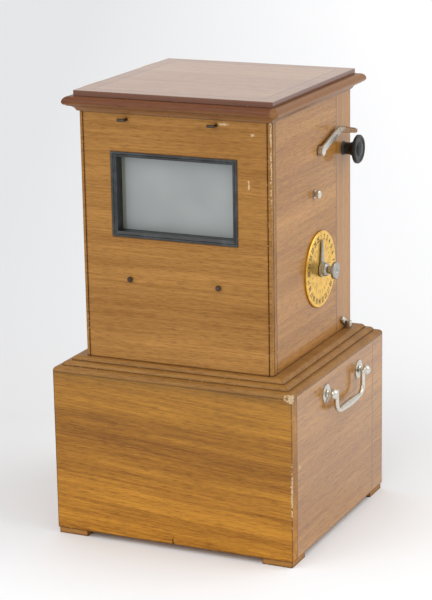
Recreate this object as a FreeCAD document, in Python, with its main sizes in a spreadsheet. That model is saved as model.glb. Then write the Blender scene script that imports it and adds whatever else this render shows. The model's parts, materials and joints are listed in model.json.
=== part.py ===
import FreeCAD, Part
import math
import os
import Sketcher

# A table-top viewer for glass stereo slides, in a mahogany cabinet on a storage base.
# Millimetres, +Z up. The origin is on the floor, under the middle of the outline.
# The controls are on +X, the ground-glass screen is on -Y and the eyepieces are on +Y.

document = FreeCAD.newDocument("stereo_viewer")
sheet = document.addObject("Spreadsheet::Sheet", "Sizes")


class Size:
    """A length that carries its sheet formula, so that sums of sizes stay bound to the sheet."""

    def __init__(self, value, text):
        self.value = value
        self.text = text

    def __add__(self, other):
        return Size(self.value + number(other), f"({self.text} + {formula(other)})")

    def __radd__(self, other):
        return Size(number(other) + self.value, f"({formula(other)} + {self.text})")

    def __sub__(self, other):
        return Size(self.value - number(other), f"({self.text} - {formula(other)})")

    def __rsub__(self, other):
        return Size(number(other) - self.value, f"({formula(other)} - {self.text})")

    def __mul__(self, other):
        return Size(self.value * number(other), f"({self.text} * {formula(other)})")

    def __truediv__(self, other):
        return Size(self.value / number(other), f"({self.text} / {formula(other)})")

    def __neg__(self):
        return Size(-self.value, f"(-1 * {self.text})")


def number(length):
    return length.value if isinstance(length, Size) else float(length)


def formula(length):
    return length.text if isinstance(length, Size) else repr(float(length))


rows = []


def size(alias, value):
    """Adds a driving dimension to the sheet and returns it."""
    rows.append(alias)
    sheet.set(f"A{len(rows)}", alias)
    sheet.set(f"B{len(rows)}", str(value))
    sheet.setAlias(f"B{len(rows)}", alias)
    return Size(float(value), f"Sizes.{alias}")


# Slides and the tray that carries them
SLOTS = 25
slide_width = size("slide_width", 107)
slide_height = size("slide_height", 45)
slide_play = size("slide_play", 0.75)
slide_lift = size("slide_lift", 50)
tray_wall = size("tray_wall", 3)
tray_height = size("tray_height", 28.5)
tray_ledge = size("tray_ledge", 3)
tray_ledge_width = size("tray_ledge_width", 6)
slot_margin = size("slot_margin", 3)
slot_width = size("slot_width", 1.7)
slot_depth = size("slot_depth", 1.2)

# Carriage, its rack and its guide rods
DIAL_TEETH = 20
RACK_TEETH = 23
dial_module = size("dial_module", 1)
rack_width = size("rack_width", 5)
rack_body = size("rack_body", 4.25)
rack_rise = size("rack_rise", 1.5)
rack_offset = size("rack_offset", 2)
rail_width = size("rail_width", 12)
rail_height = size("rail_height", 8.5)
rod_radius = size("rod_radius", 2.5)
bracket_depth = size("bracket_depth", 8)
bracket_margin = size("bracket_margin", 5)
front_bracket_gap = size("front_bracket_gap", 9)

# Fits, and how far a cut runs past the piece it goes through
running_fit = size("running_fit", 0.05)
slide_fit = size("slide_fit", 0.15)
clear_gap = size("clear_gap", 0.3)
overshoot = size("overshoot", 1)

# Base
foot_height = size("foot_height", 6)
foot_length = size("foot_length", 30)
foot_inset = size("foot_inset", 1)
base_height = size("base_height", 157)
base_wall = size("base_wall", 12)
base_post_depth = size("base_post_depth", 28)
base_post_width = size("base_post_width", 20)
base_step_side = size("base_step_side", 26.5)
base_step_end = size("base_step_end", 20)
moulding_height = size("moulding_height", 13)
moulding_width = size("moulding_width", 18)

# Upper body and cornice
body_height = size("body_height", 235)
body_wall = size("body_wall", 10)
body_post_depth = size("body_post_depth", 37)
lens_panel_wall = size("lens_panel_wall", 12)
control_room = size("control_room", 12.75)
rear_room = size("rear_room", 15.7)
front_room = size("front_room", 2.4)
pinion_offset = size("pinion_offset", 21)
bead_radius = size("bead_radius", 1.6)
bead_quirk = size("bead_quirk", 0.9)
cornice_height = size("cornice_height", 14)
cornice_overhang = size("cornice_overhang", 12)

# Lid and its hinges
lid_thickness = size("lid_thickness", 5)
lid_overhang = size("lid_overhang", 3.5)
lid_gap = size("lid_gap", 0.2)
batten_width = size("batten_width", 8)
batten_height = size("batten_height", 8)
batten_inset = size("batten_inset", 2)
hinge_length = size("hinge_length", 30)
hinge_spread = size("hinge_spread", 120)
hinge_radius = size("hinge_radius", 1.7)
hinge_pin = size("hinge_pin", 0.8)
hinge_rise = size("hinge_rise", 3)
hinge_leaf = size("hinge_leaf", 1)
hinge_leaf_width = size("hinge_leaf_width", 16)

# Drawers
drawer_gap = size("drawer_gap", 0.5)
drawer_front = size("drawer_front", 14)
drawer_side = size("drawer_side", 7)
drawer_bottom = size("drawer_bottom", 5)
drawer_tail = size("drawer_tail", 11)
drawer_head_room = size("drawer_head_room", 3)
rail_thickness = size("rail_thickness", 10)
runner_height = size("runner_height", 4)
runner_lip = size("runner_lip", 6)
runner_guide = size("runner_guide", 10.5)
knob_reach = size("knob_reach", 14)
knob_radius = size("knob_radius", 9)

# Window and the fixings for a hanging reflector
window_width = size("window_width", 127)
window_height = size("window_height", 80)
window_shift = size("window_shift", 1)
frame_face = size("frame_face", 4.9)
frame_proud = size("frame_proud", 1)
glass_setback = size("glass_setback", 2)
glass_thickness = size("glass_thickness", 2)
glass_lip = size("glass_lip", 4)
glass_bead_width = size("glass_bead_width", 6)
fixing_spread = size("fixing_spread", 90)
fixing_shift = size("fixing_shift", 2.2)
hook_pin_drop = size("hook_pin_drop", 5.5)
stud_height = size("stud_height", 79)
stud_radius = size("stud_radius", 2.5)
pin_radius = size("pin_radius", 1.4)
pin_standoff = size("pin_standoff", 6)
pin_length = size("pin_length", 6.5)

# Dial
dial_height = size("dial_height", 75)
dial_radius = size("dial_radius", 37)
dial_plate = size("dial_plate", 2)
dial_hub = size("dial_hub", 7.5)
dial_knob = size("dial_knob", 8.2)
dial_knob_reach = size("dial_knob_reach", 18)
pointer_length = size("pointer_length", 29)
pointer_width = size("pointer_width", 8)
shaft_radius = size("shaft_radius", 3)
bush_radius = size("bush_radius", 5)
bush_flange = size("bush_flange", 8)
bush_flange_thickness = size("bush_flange_thickness", 2)

# Lift lever, its crank and the slide lifter
LEVER_REST = 15.6
LEVER_SWING = 110
lever_height = size("lever_height", 189)
lever_length = size("lever_length", 48)
lever_width = size("lever_width", 7)
lever_hub = size("lever_hub", 4.8)
lever_thickness = size("lever_thickness", 2)
lever_standoff = size("lever_standoff", 2)
lever_tab = size("lever_tab", 18)
stop_drop = size("stop_drop", 39)
stop_back = size("stop_back", 12)
stop_radius = size("stop_radius", 4)
stop_length = size("stop_length", 6)
crank_width = size("crank_width", 8)
crank_thickness = size("crank_thickness", 2.5)
crank_gap = size("crank_gap", 1.5)
crank_pin = size("crank_pin", 2)
yoke_play = size("yoke_play", 1.9)
yoke_wall = size("yoke_wall", 2.5)
lifter_gap = size("lifter_gap", 1)
lifter_thickness = size("lifter_thickness", 3)
lifter_width = size("lifter_width", 8)
lifter_arm = size("lifter_arm", 6)
lifter_clearance = size("lifter_clearance", 2)
fork_thickness = size("fork_thickness", 1.6)
fork_prong = size("fork_prong", 6)
fork_reach = size("fork_reach", 45)
guide_wall = size("guide_wall", 1.85)
guide_height = size("guide_height", 8)
guide_spacing = size("guide_spacing", 32)

# Slide gate
gate_thickness = size("gate_thickness", 6)
gate_offset = size("gate_offset", 1.8)
gate_height = size("gate_height", 76)
gate_window = size("gate_window", 41)
gate_lug = size("gate_lug", 12)
channel_depth = size("channel_depth", 5)
channel_wall = size("channel_wall", 3)
channel_lip = size("channel_lip", 1.5)
divider_wall = size("divider_wall", 3)
divider_reach = size("divider_reach", 48)

# Eyepieces and focusing
FOCUS_TEETH = 10
FOCUS_TEETH_BEHIND = 5
FOCUS_TEETH_AHEAD = 3
eye_spacing = size("eye_spacing", 64)
tube_radius = size("tube_radius", 14)
tube_wall = size("tube_wall", 1.5)
tube_inside = size("tube_inside", 23)
tube_outside = size("tube_outside", 15)
lens_thickness = size("lens_thickness", 5)
lens_depth = size("lens_depth", 8)
focus_module = size("focus_module", 0.8)
focus_rack_body = size("focus_rack_body", 2)
focus_rack_width = size("focus_rack_width", 5)
focus_setback = size("focus_setback", 6)
focus_shaft_radius = size("focus_shaft_radius", 2.5)
focus_bearing_width = size("focus_bearing_width", 6)
focus_knob_radius = size("focus_knob_radius", 13.9)
focus_knob_reach = size("focus_knob_reach", 18.5)
sleeve_radius = size("sleeve_radius", 20)
sleeve_thickness = size("sleeve_thickness", 3)
eyecup_radius = size("eyecup_radius", 21)
eyecup_depth = size("eyecup_depth", 14)
eyecup_socket = size("eyecup_socket", 4)
bridge_height = size("bridge_height", 18)
bridge_thickness = size("bridge_thickness", 4)

# Carrying handles
handle_spacing = size("handle_spacing", 84)
handle_drop = size("handle_drop", 18)
handle_forward = size("handle_forward", 8.3)
handle_standoff = size("handle_standoff", 7.5)
rosette_radius = size("rosette_radius", 9)
rosette_thickness = size("rosette_thickness", 2)
ball_radius = size("ball_radius", 5)
neck_radius = size("neck_radius", 2.5)
bail_radius = size("bail_radius", 2.3)
bail_pin = size("bail_pin", 1.3)
bail_drop = size("bail_drop", 20.5)
bail_inset = size("bail_inset", 7.7)
bail_bend = size("bail_bend", 10)
grip_swell = size("grip_swell", 1.2)

# Hold-down hooks
hook_back = size("hook_back", 15)
hook_rise = size("hook_rise", 5)
hook_drop = size("hook_drop", 6)
hook_run = size("hook_run", 10)
hook_width = size("hook_width", 5.2)
hook_plate = size("hook_plate", 1.4)
hook_spacer = size("hook_spacer", 1)
hook_pin = size("hook_pin", 1)
hook_screw = size("hook_screw", 1.2)
hook_screw_head = size("hook_screw_head", 2.3)
keep_width = size("keep_width", 6)

document.recompute()

# Places worked out from the sizes, with the middle of the base at y = 0
ZERO = Size(0.0, "0")
dial_pitch = dial_module * (DIAL_TEETH / 2)
rack_pitch = dial_module * math.pi
slot_pitch = dial_pitch * (2 * math.pi / SLOTS)
tray_travel = slot_pitch * (SLOTS - 1)
tray_half = slide_width / 2 + slide_play
tray_outer = tray_half + tray_wall
rail_outer = tray_half + rail_width
rod_x = tray_half + rail_width / 2
rack_inner = rail_outer + rack_offset
rack_outer = rack_inner + rack_width
inner_x = rack_outer + control_room
body_x = inner_x + body_wall
gate_room = rear_room + tray_wall + slot_margin + tray_travel
rack_room = rack_pitch * 2 + tray_travel + front_room
body_y = (body_wall + gate_room + pinion_offset + rack_room + lens_panel_wall) / 2
inner_rear = body_wall - body_y
inner_front = body_y - lens_panel_wall
gate_y = inner_rear + gate_room
control_y = gate_y + pinion_offset
tray_rear = gate_y - tray_travel - slot_margin - tray_wall
tray_front = gate_y + slot_margin + tray_wall
focus_y = inner_front - focus_setback
base_x = body_x + base_step_side
base_y = body_y + base_step_end
front_shift = -(knob_reach / 2)

base_top = foot_height + base_height
deck = base_top + moulding_height
body_top = deck + body_height
rim = body_top + cornice_height
dial_z = deck + dial_height
rack_line = dial_z + dial_pitch
tray_floor = rack_line - rack_rise
rail_bottom = tray_floor - rail_height
rod_z = tray_floor - rail_height / 2
slide_seat = tray_floor + tray_ledge
tray_top = tray_floor + tray_height
optical_z = slide_seat + slide_lift + slide_height / 2
lever_z = deck + lever_height
crank_radius = slide_lift / (2 * math.sin(math.radians(LEVER_SWING / 2)))
crank_inset = crank_radius * math.cos(math.radians(LEVER_SWING / 2))
yoke_z = lever_z - slide_lift / 2
focus_pitch = focus_module * (FOCUS_TEETH / 2)
focus_rack_pitch = focus_module * math.pi
focus_rack_line = optical_z + tube_radius + focus_rack_body + focus_module * 1.25
focus_z = focus_rack_line + focus_pitch
eye_x = eye_spacing / 2

# Directions and turns
RIGHT = FreeCAD.Vector(1, 0, 0)
FORWARD = FreeCAD.Vector(0, 1, 0)
UP = FreeCAD.Vector(0, 0, 1)
UPRIGHT = FreeCAD.Rotation()
ALONG_SIDE = FreeCAD.Rotation(UP, 90)
SIDE_FACING = FreeCAD.Rotation(FORWARD, UP, RIGHT, "ZXY")
REAR_FACING = FreeCAD.Rotation(RIGHT, UP, FORWARD * -1, "ZXY")
FRONT_FACING = FreeCAD.Rotation(RIGHT * -1, UP, FORWARD, "ZXY")


def bind(piece, path, length):
    """Ties one property to the sheet."""
    piece.setExpression(path, formula(length))


def place(piece, at, turn=UPRIGHT, shift=front_shift):
    """Puts a piece at a point of the cabinet. The shift centres the whole outline on the origin."""
    spot = (at[0], at[1] + shift, at[2])
    piece.Placement = FreeCAD.Placement(FreeCAD.Vector(*[number(length) for length in spot]), turn)
    for axis, length in zip("xyz", spot):
        bind(piece, f"Placement.Base.{axis}", length)
    return piece


def box(name, low, high):
    """A block between two corners."""
    block = document.addObject("Part::Box", name)
    for edge, start, end in zip(("Length", "Width", "Height"), low, high):
        bind(block, edge, end - start)
    return place(block, low)


def rod(name, at, direction, radius, length):
    """A round bar from a point along a direction."""
    bar = document.addObject("Part::Cylinder", name)
    bind(bar, "Radius", radius)
    bind(bar, "Height", length)
    return place(bar, at, FreeCAD.Rotation(UP, direction))


def ball(name, at, radius):
    sphere = document.addObject("Part::Sphere", name)
    bind(sphere, "Radius", radius)
    return place(sphere, at)


def group(name, pieces):
    """Several separate solids under one name."""
    result = document.addObject("Part::Compound", name)
    result.Links = pieces
    return result


def fuse(name, pieces):
    """Several forms made as one solid."""
    result = document.addObject("Part::MultiFuse", name)
    result.Shapes = pieces
    result.Refine = True
    return result


def cut(name, base, tools):
    """A piece with some others taken away."""
    result = document.addObject("Part::Cut", name)
    result.Base = base
    result.Tool = tools[0] if len(tools) == 1 else fuse(name + "_tools", tools)
    return result


def common(name, first, second):
    """What two forms share."""
    result = document.addObject("Part::Common", name)
    result.Base = first
    result.Tool = second
    return result


def mirrored(name, source):
    """The left-hand twin of a right-hand piece."""
    twin = document.addObject("Part::Mirroring", name)
    twin.Source = source
    twin.Normal = RIGHT
    return twin


def on_both_sides(name, make):
    """A right-hand piece and its twin, under one name."""
    right = make(name + "_right")
    return group(name, [right, mirrored(name + "_left", right)])


def new_sketch(body, name):
    """A sketch on the body's own XY plane."""
    sketch = body.newObject("Sketcher::SketchObject", name)
    plane = [feature for feature in body.Origin.OriginFeatures if feature.Role == "XY_Plane"][0]
    sketch.AttachmentSupport = [(plane, "")]
    sketch.MapMode = "FlatFace"
    return sketch


def measure(sketch, length, kind, *parts):
    """Adds a measured constraint that follows the sheet."""
    index = sketch.addConstraint(Sketcher.Constraint(kind, *parts, number(length)))
    sketch.setExpression(f"Constraints[{index}]", formula(length))


def arc_between(start, end, radius, side):
    """An arc whose centre is on the left of the way for side 1 and on the right for side -1."""
    chord = end - start
    reach = math.sqrt(max(radius**2 - (chord.Length / 2) ** 2, 0))
    left = FreeCAD.Vector(-chord.y, chord.x, 0).normalize()
    centre = (start + end) * 0.5 + left * (reach * side)
    first, last = (start, end) if side > 0 else (end, start)
    angles = [math.atan2(point.y - centre.y, point.x - centre.x) for point in (first, last)]
    return Part.ArcOfCircle(Part.Circle(centre, UP, radius), *angles)


def outline_sketch(body, name, outline):
    """A closed sketch. A corner is (x, y), or (x, y, radius, side) where an arc leads to the next one."""
    sketch = new_sketch(body, name)
    corners = [FreeCAD.Vector(number(corner[0]), number(corner[1]), 0) for corner in outline]
    starts = []
    ends = []
    for index, corner in enumerate(outline):
        start = corners[index]
        end = corners[(index + 1) % len(corners)]
        if len(corner) == 2:
            edge = sketch.addGeometry(Part.LineSegment(start, end), False)
            forward = True
        else:
            edge = sketch.addGeometry(arc_between(start, end, number(corner[2]), corner[3]), False)
            forward = corner[3] > 0
            measure(sketch, corner[2], "Radius", edge)
        starts.append((edge, 1 if forward else 2))
        ends.append((edge, 2 if forward else 1))
    for index, corner in enumerate(outline):
        following = starts[(index + 1) % len(starts)]
        sketch.addConstraint(Sketcher.Constraint("Coincident", *ends[index], *following))
        for kind, axis, length in (("DistanceX", -2, corner[0]), ("DistanceY", -1, corner[1])):
            if abs(number(length)) < 1e-9:
                sketch.addConstraint(Sketcher.Constraint("PointOnObject", *starts[index], axis))
            else:
                measure(sketch, length, kind, -1, 1, *starts[index])
    return sketch


def rectangle(left, low, right, high):
    return [(left, low), (right, low), (right, high), (left, high)]


def pad(body, sketch, length):
    """Draws a sketch out along the body's Z axis."""
    result = body.newObject("PartDesign::Pad", sketch.Name + "_pad")
    result.Profile = sketch
    bind(result, "Length", length)
    return result


def prism(name, at, turn, outline, length, shift=front_shift):
    """An outline drawn out along the turned Z axis."""
    body = document.addObject("PartDesign::Body", name)
    pad(body, outline_sketch(body, name + "_outline", outline), length)
    return place(body, at, turn, shift)


def turned(name, at, direction, profile):
    """A lathe-turned piece. Its profile is (radius, distance along the direction)."""
    body = document.addObject("PartDesign::Body", name)
    sketch = outline_sketch(body, name + "_profile", profile)
    spin = body.newObject("PartDesign::Revolution", name + "_turning")
    spin.Profile = sketch
    spin.ReferenceAxis = (sketch, ["V_Axis"])
    spin.Angle = 360
    return place(body, at, FreeCAD.Rotation(FORWARD, direction))


def framing(name, at, turn, width, depth, outline, reach, height):
    """Four mitred lengths round a rectangle. The outline is (inward from the outer edge, up)."""
    lengths = []
    for quarter in range(4):
        run = width if quarter % 2 == 0 else depth
        spin = FreeCAD.Rotation(UP, 90 * quarter)
        corner = spin.multVec(FreeCAD.Vector(-1, -1, 0))
        near = (width / 2 * round(corner.x), depth / 2 * round(corner.y), ZERO)
        along = spin.multiply(SIDE_FACING)
        strip = prism(f"{name}_strip{quarter}", near, along, outline, run, 0)
        plan = [(0, 0), (run, 0), (run - reach, reach), (reach, reach)]
        mitre = prism(f"{name}_mitre{quarter}", near, spin, plan, height, 0)
        lengths.append(common(f"{name}_length{quarter}", strip, mitre))
    return place(group(name, lengths), at, turn)


def pocket(body, sketch):
    """Cuts a sketch right through the body."""
    result = body.newObject("PartDesign::Pocket", sketch.Name + "_pocket")
    result.Profile = sketch
    result.Type = "ThroughAll"
    result.Midplane = True
    return result


def toothed_bar(name, at, turn, bar, gap, width, spacing, count):
    """A bar with a row of gaps along the sketch's X axis."""
    body = document.addObject("PartDesign::Body", name)
    pad(body, outline_sketch(body, name + "_bar", bar), width)
    gap_sketch = outline_sketch(body, name + "_gap", gap)
    first_gap = pocket(body, gap_sketch)
    row = body.newObject("PartDesign::LinearPattern", name + "_row")
    row.Originals = [first_gap]
    row.Direction = (gap_sketch, ["H_Axis"])
    bind(row, "Length", spacing * (count - 1))
    row.Occurrences = count
    body.Tip = row
    return place(body, at, turn)


def rack(name, at, module, count, depth, width, facing):
    """A rack along +Y from a tooth's middle, with its pitch line on the sketch's X axis."""
    pitch = module * math.pi
    back = (module * 1.25 + depth) * -facing
    bar = rectangle(0, back, pitch * count, module * 0.8 * facing)
    root = module * -1.25 * facing
    mouth = module * facing
    middle = pitch / 2
    narrow = module * 0.45
    wide = module * 1.25
    gap = [(middle - narrow, root), (middle + narrow, root), (middle + wide, mouth), (middle - wide, mouth)]
    return toothed_bar(name, at, SIDE_FACING, bar, gap, width, pitch, count)


def pinion(name, at, module, teeth, width, facing):
    """A pinion across the cabinet with straight-sided gaps, one of them facing up or down."""
    body = document.addObject("PartDesign::Body", name)
    pitch = module * (teeth / 2)
    blank = new_sketch(body, name + "_blank")
    tip = pitch + module * 0.8
    disc = blank.addGeometry(Part.Circle(FreeCAD.Vector(), UP, number(tip)), False)
    blank.addConstraint(Sketcher.Constraint("Coincident", disc, 3, -1, 1))
    measure(blank, tip, "Radius", disc)
    pad(body, blank, width)
    root = (pitch - module * 1.2) * facing
    mouth = (pitch + module) * facing
    narrow = module * 0.5
    wide = module * 1.4
    gap_outline = [(-narrow, root), (narrow, root), (wide, mouth), (-wide, mouth)]
    gap = outline_sketch(body, name + "_gap", gap_outline)
    first_gap = pocket(body, gap)
    ring = body.newObject("PartDesign::PolarPattern", name + "_ring")
    ring.Originals = [first_gap]
    ring.Axis = (gap, ["N_Axis"])
    ring.Angle = 360
    ring.Occurrences = teeth
    body.Tip = ring
    return place(body, at, SIDE_FACING)


# Feet and the boards of the base
def foot(name, x, y):
    return box(name, (x, y, ZERO), (x + foot_length, y + foot_length, foot_height))


foot_x = base_x - foot_inset - foot_length
foot_y = base_y - foot_inset - foot_length
group(
    "feet",
    [
        foot("foot_right_front", foot_x, foot_y),
        foot("foot_left_front", -foot_x - foot_length, foot_y),
        foot("foot_right_rear", foot_x, -foot_y - foot_length),
        foot("foot_left_rear", -foot_x - foot_length, -foot_y - foot_length),
    ],
)

base_inner = base_x - base_wall
base_rear = base_wall - base_y
post_rear = base_y - base_post_depth
post_inner = base_x - base_post_width
floor_top = foot_height + rail_thickness
ceiling = base_top - rail_thickness
drawer_opening = (ceiling - floor_top - rail_thickness) / 2
upper_opening = floor_top + drawer_opening + rail_thickness

box("base_floor", (-base_inner, base_rear, foot_height), (base_inner, post_rear, floor_top))
box("base_top_board", (-base_inner, base_rear, ceiling), (base_inner, post_rear, base_top))
box("base_rear_board", (-base_x, -base_y, foot_height), (base_x, base_rear, base_top))
on_both_sides(
    "base_sides",
    lambda name: box(name, (base_inner, base_rear, foot_height), (base_x, post_rear, base_top)),
)
on_both_sides(
    "base_front_posts",
    lambda name: box(name, (post_inner, post_rear, foot_height), (base_x, base_y, base_top)),
)


def base_rail(name, z):
    return box(name, (-post_inner, post_rear, z), (post_inner, base_y, z + rail_thickness))


group(
    "base_rails",
    [
        base_rail("bottom_rail", foot_height),
        base_rail("middle_rail", floor_top + drawer_opening),
        base_rail("top_rail", ceiling),
    ],
)

# Stepped moulding round the top of the base: three rounded steps up to the deck
STEPS = 3
moulding_reach = base_step_side + body_wall
step_rise = moulding_height * 0.31
step_round = step_rise * 0.85
step_nose = moulding_width * 0.26
step_run = (moulding_width - step_nose) / (STEPS - 1)
moulding_outline = [(0, 0), (moulding_reach, 0), (moulding_reach, moulding_height)]
for step in range(STEPS):
    step_top = moulding_height - step_rise * step
    step_inner = moulding_width - step_run * step
    step_outer = step_inner - step_nose
    moulding_outline.append((step_inner, step_top, step_nose, 1))
    moulding_outline.append((step_outer, step_top - step_round))
    if step < STEPS - 1:
        moulding_outline.append((step_outer, step_top - step_rise))
framing(
    "base_moulding",
    (ZERO, ZERO, base_top),
    UPRIGHT,
    base_x * 2,
    base_y * 2,
    moulding_outline,
    moulding_reach,
    moulding_height,
)

# Drawers, their runners and their knobs
runner_inner = base_inner - runner_guide
drawer_rear = base_rear + drawer_tail
drawer_front_rear = base_y - drawer_front
drawer_x = runner_inner - clear_gap
drawer_lift = runner_height + drawer_gap / 2


def runner(name, z):
    """An angled runner under and beside one drawer side."""
    tread = runner_inner - runner_lip
    strip = box(name + "_strip", (tread, base_rear, z), (base_inner, post_rear, z + runner_height))
    guide_low = (runner_inner, base_rear, z + runner_height)
    guide = box(name + "_guide", guide_low, (base_inner, post_rear, z + runner_height + runner_guide))
    return [strip, guide]


runner_pieces = runner("lower_runner", floor_top) + runner("upper_runner", upper_opening)
twins = [mirrored(piece.Name + "_left", piece) for piece in runner_pieces]
group("drawer_runners", runner_pieces + twins)


def drawer(name, z):
    """A front, two sides, a back and a bottom."""
    low = z + drawer_lift
    high = z + drawer_opening - drawer_head_room
    inside = drawer_x - drawer_side
    face_x = post_inner - drawer_gap
    face_low = (-face_x, drawer_front_rear, z + drawer_gap)
    face = box(name + "_face", face_low, (face_x, base_y, z + drawer_opening - drawer_gap))
    side = box(name + "_side", (inside, drawer_rear, low), (drawer_x, drawer_front_rear, high))
    panel_top = low + drawer_bottom
    panel = box(name + "_panel", (-inside, drawer_rear, low), (inside, drawer_front_rear, panel_top))
    back = box(name + "_back", (-inside, drawer_rear, panel_top), (inside, drawer_rear + drawer_side, high))
    group(name, [face, side, mirrored(name + "_other_side", side), panel, back])
    neck = knob_radius * 0.45
    knob_profile = [
        (0, 0),
        (knob_radius * 0.62, 0),
        (knob_radius * 0.62, knob_reach * 0.1),
        (neck, knob_reach * 0.22),
        (neck, knob_reach * 0.45),
        (knob_radius, knob_reach * 0.62),
        (knob_radius, knob_reach * 0.78),
        (knob_radius * 0.75, knob_reach * 0.95),
        (knob_radius * 0.35, knob_reach),
        (0, knob_reach),
    ]
    turned(name + "_knob", (ZERO, base_y, z + drawer_opening / 2), FORWARD, knob_profile)


drawer("lower_drawer", floor_top)
drawer("upper_drawer", upper_opening)

# Upper body: screen board with beaded corners, sides, front posts and lens panel
bead_flat = bead_radius * 2
bead_end = bead_flat + bead_quirk
quirk_middle = bead_flat + bead_quirk / 2
screen_plan = [
    (bead_radius - body_x, 0),
    (bead_flat - body_x, 0),
    (quirk_middle - body_x, bead_quirk),
    (bead_end - body_x, 0),
    (body_x - bead_end, 0),
    (body_x - quirk_middle, bead_quirk),
    (body_x - bead_flat, 0),
    (body_x - bead_radius, 0, bead_radius, 1),
    (body_x, bead_radius),
    (body_x, bead_flat),
    (body_x - bead_quirk, quirk_middle),
    (body_x, bead_end),
    (body_x, body_wall),
    (-body_x, body_wall),
    (-body_x, bead_end),
    (bead_quirk - body_x, quirk_middle),
    (-body_x, bead_flat),
    (-body_x, bead_radius, bead_radius, 1),
]
window_left = -window_shift - window_width / 2
window_right = window_left + window_width
window_low = optical_z - window_height / 2
window_top = optical_z + window_height / 2
screen_blank = prism("screen_blank", (ZERO, -body_y, deck), UPRIGHT, screen_plan, body_height)
window_start = (window_left, -body_y - overshoot, window_low)
window_hole = box("window_hole", window_start, (window_right, inner_rear + overshoot, window_top))
cut("screen_board", screen_blank, [window_hole])

side_front = body_y - body_post_depth
drilled_wall = body_wall + overshoot * 2


def bush_hole(name, z):
    return rod(name, (inner_x - overshoot, control_y, z), RIGHT, bush_radius + running_fit, drilled_wall)


right_blank = box("right_side_blank", (inner_x, inner_rear, deck), (body_x, side_front, body_top))
bush_holes = [bush_hole("dial_bush_hole", dial_z), bush_hole("lever_bush_hole", lever_z)]
right_side = cut("right_side", right_blank, bush_holes)
left_side = box("left_side", (-body_x, inner_rear, deck), (-inner_x, side_front, body_top))
group("side_boards", [right_side, left_side])

post_blank = box("right_post_blank", (inner_x, side_front, deck), (body_x, body_y, body_top))
focus_bore = focus_shaft_radius + running_fit
post_bore = rod("right_post_bore", (inner_x - overshoot, focus_y, focus_z), RIGHT, focus_bore, drilled_wall)
right_post = cut("right_post", post_blank, [post_bore])
left_post = box("left_post", (-body_x, side_front, deck), (-inner_x, body_y, body_top))
group("front_posts", [right_post, left_post])

tube_bore = tube_radius + running_fit * 2
notch_half = focus_rack_width / 2 + drawer_gap
notch_top = focus_rack_line + focus_module * 2


def lens_hole(name):
    """A round hole with a keyway for the focusing rack."""
    start = inner_front - overshoot
    bore = rod(name + "_bore", (eye_x, start, optical_z), FORWARD, tube_bore, lens_panel_wall + overshoot * 2)
    key_low = (eye_x - notch_half, start, optical_z)
    key = box(name + "_key", key_low, (eye_x + notch_half, body_y + overshoot, notch_top))
    return fuse(name, [bore, key])


right_hole = lens_hole("right_lens_hole")
panel_blank = box("lens_panel_blank", (-inner_x, inner_front, deck), (inner_x, body_y, body_top))
cut("lens_panel", panel_blank, [right_hole, mirrored("left_lens_hole", right_hole)])

# Cornice: a cove under a rim with a full round nose
cornice_reach = cornice_overhang + body_wall
cornice_outline = [
    (cornice_overhang, 0),
    (cornice_reach, 0),
    (cornice_reach, cornice_height),
    (cornice_overhang * 0.42, cornice_height, cornice_height * 0.38, 1),
    (0, cornice_height * 0.66, cornice_height * 0.22, 1),
    (cornice_overhang * 0.17, cornice_height * 0.44),
    (cornice_overhang * 0.27, cornice_height * 0.44),
    (cornice_overhang * 0.27, cornice_height * 0.38, cornice_overhang * 0.65, -1),
    (cornice_overhang * 0.87, 0),
]
framing(
    "cornice",
    (ZERO, ZERO, body_top),
    UPRIGHT,
    (body_x + cornice_overhang) * 2,
    (body_y + cornice_overhang) * 2,
    cornice_outline,
    cornice_reach,
    cornice_height,
)

# Lid with battens that drop into the opening
lid_x = body_x + lid_overhang
lid_y = body_y + lid_overhang
lid_low = rim + lid_gap
lid_high = lid_low + lid_thickness
hinge_x = -(lid_x + hinge_radius + drawer_gap)
hinge_z = rim + hinge_rise
leaf_left = hinge_x - hinge_radius - drawer_gap
leaf_right = leaf_left + hinge_leaf_width
leaf_high = rim + hinge_leaf


def leaf_recess(name, y):
    """Room under the lid for one fixed hinge leaf."""
    half = hinge_length / 2 + drawer_gap
    low = (-lid_x - overshoot, y - half, lid_low - overshoot)
    return box(name, low, (leaf_right + drawer_gap, y + half, leaf_high + lid_gap))


lid_blank = box("lid_blank", (-lid_x, -lid_y, lid_low), (lid_x, lid_y, lid_high))
cut(
    "lid_panel",
    lid_blank,
    [leaf_recess("front_recess", hinge_spread / 2), leaf_recess("rear_recess", hinge_spread / -2)],
)
batten_x = inner_x - batten_inset
batten_outline = rectangle(0, 0, batten_width, batten_height)
batten_depth = (inner_front - lid_gap * 5) * 2
framing(
    "lid_battens",
    (ZERO, ZERO, lid_low - batten_height),
    UPRIGHT,
    batten_x * 2,
    batten_depth,
    batten_outline,
    batten_width,
    batten_height,
)

# Lid hinges: two fixed knuckles with their pin, and one knuckle on the lid
knuckle = hinge_length / 3
knuckle_gap = running_fit * 3


def hinge_bore(name, y):
    """The pin's hole through the lid's knuckle."""
    start = (hinge_x, y - hinge_length / 2, hinge_z)
    return rod(name, start, FORWARD, hinge_pin + running_fit, hinge_length)


def fixed_leaf(name, y):
    """A plate on the cornice with its two outer knuckles and the pin between them."""
    low = y - hinge_length / 2
    plate = box(name + "_plate", (leaf_left, low, rim), (leaf_right, low + hinge_length, leaf_high))
    pieces = [plate, rod(name + "_pin", (hinge_x, low, hinge_z), FORWARD, hinge_pin, hinge_length)]
    for index, start in enumerate((low, low + knuckle * 2)):
        pieces.append(rod(f"{name}_barrel{index}", (hinge_x, start, hinge_z), FORWARD, hinge_radius, knuckle))
        web_low = (hinge_x - hinge_radius / 2, start, rim)
        web_high = (hinge_x + hinge_radius / 2, start + knuckle, hinge_z - hinge_pin * 1.2)
        pieces.append(box(f"{name}_web{index}", web_low, web_high))
    return fuse(name, pieces)


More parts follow.
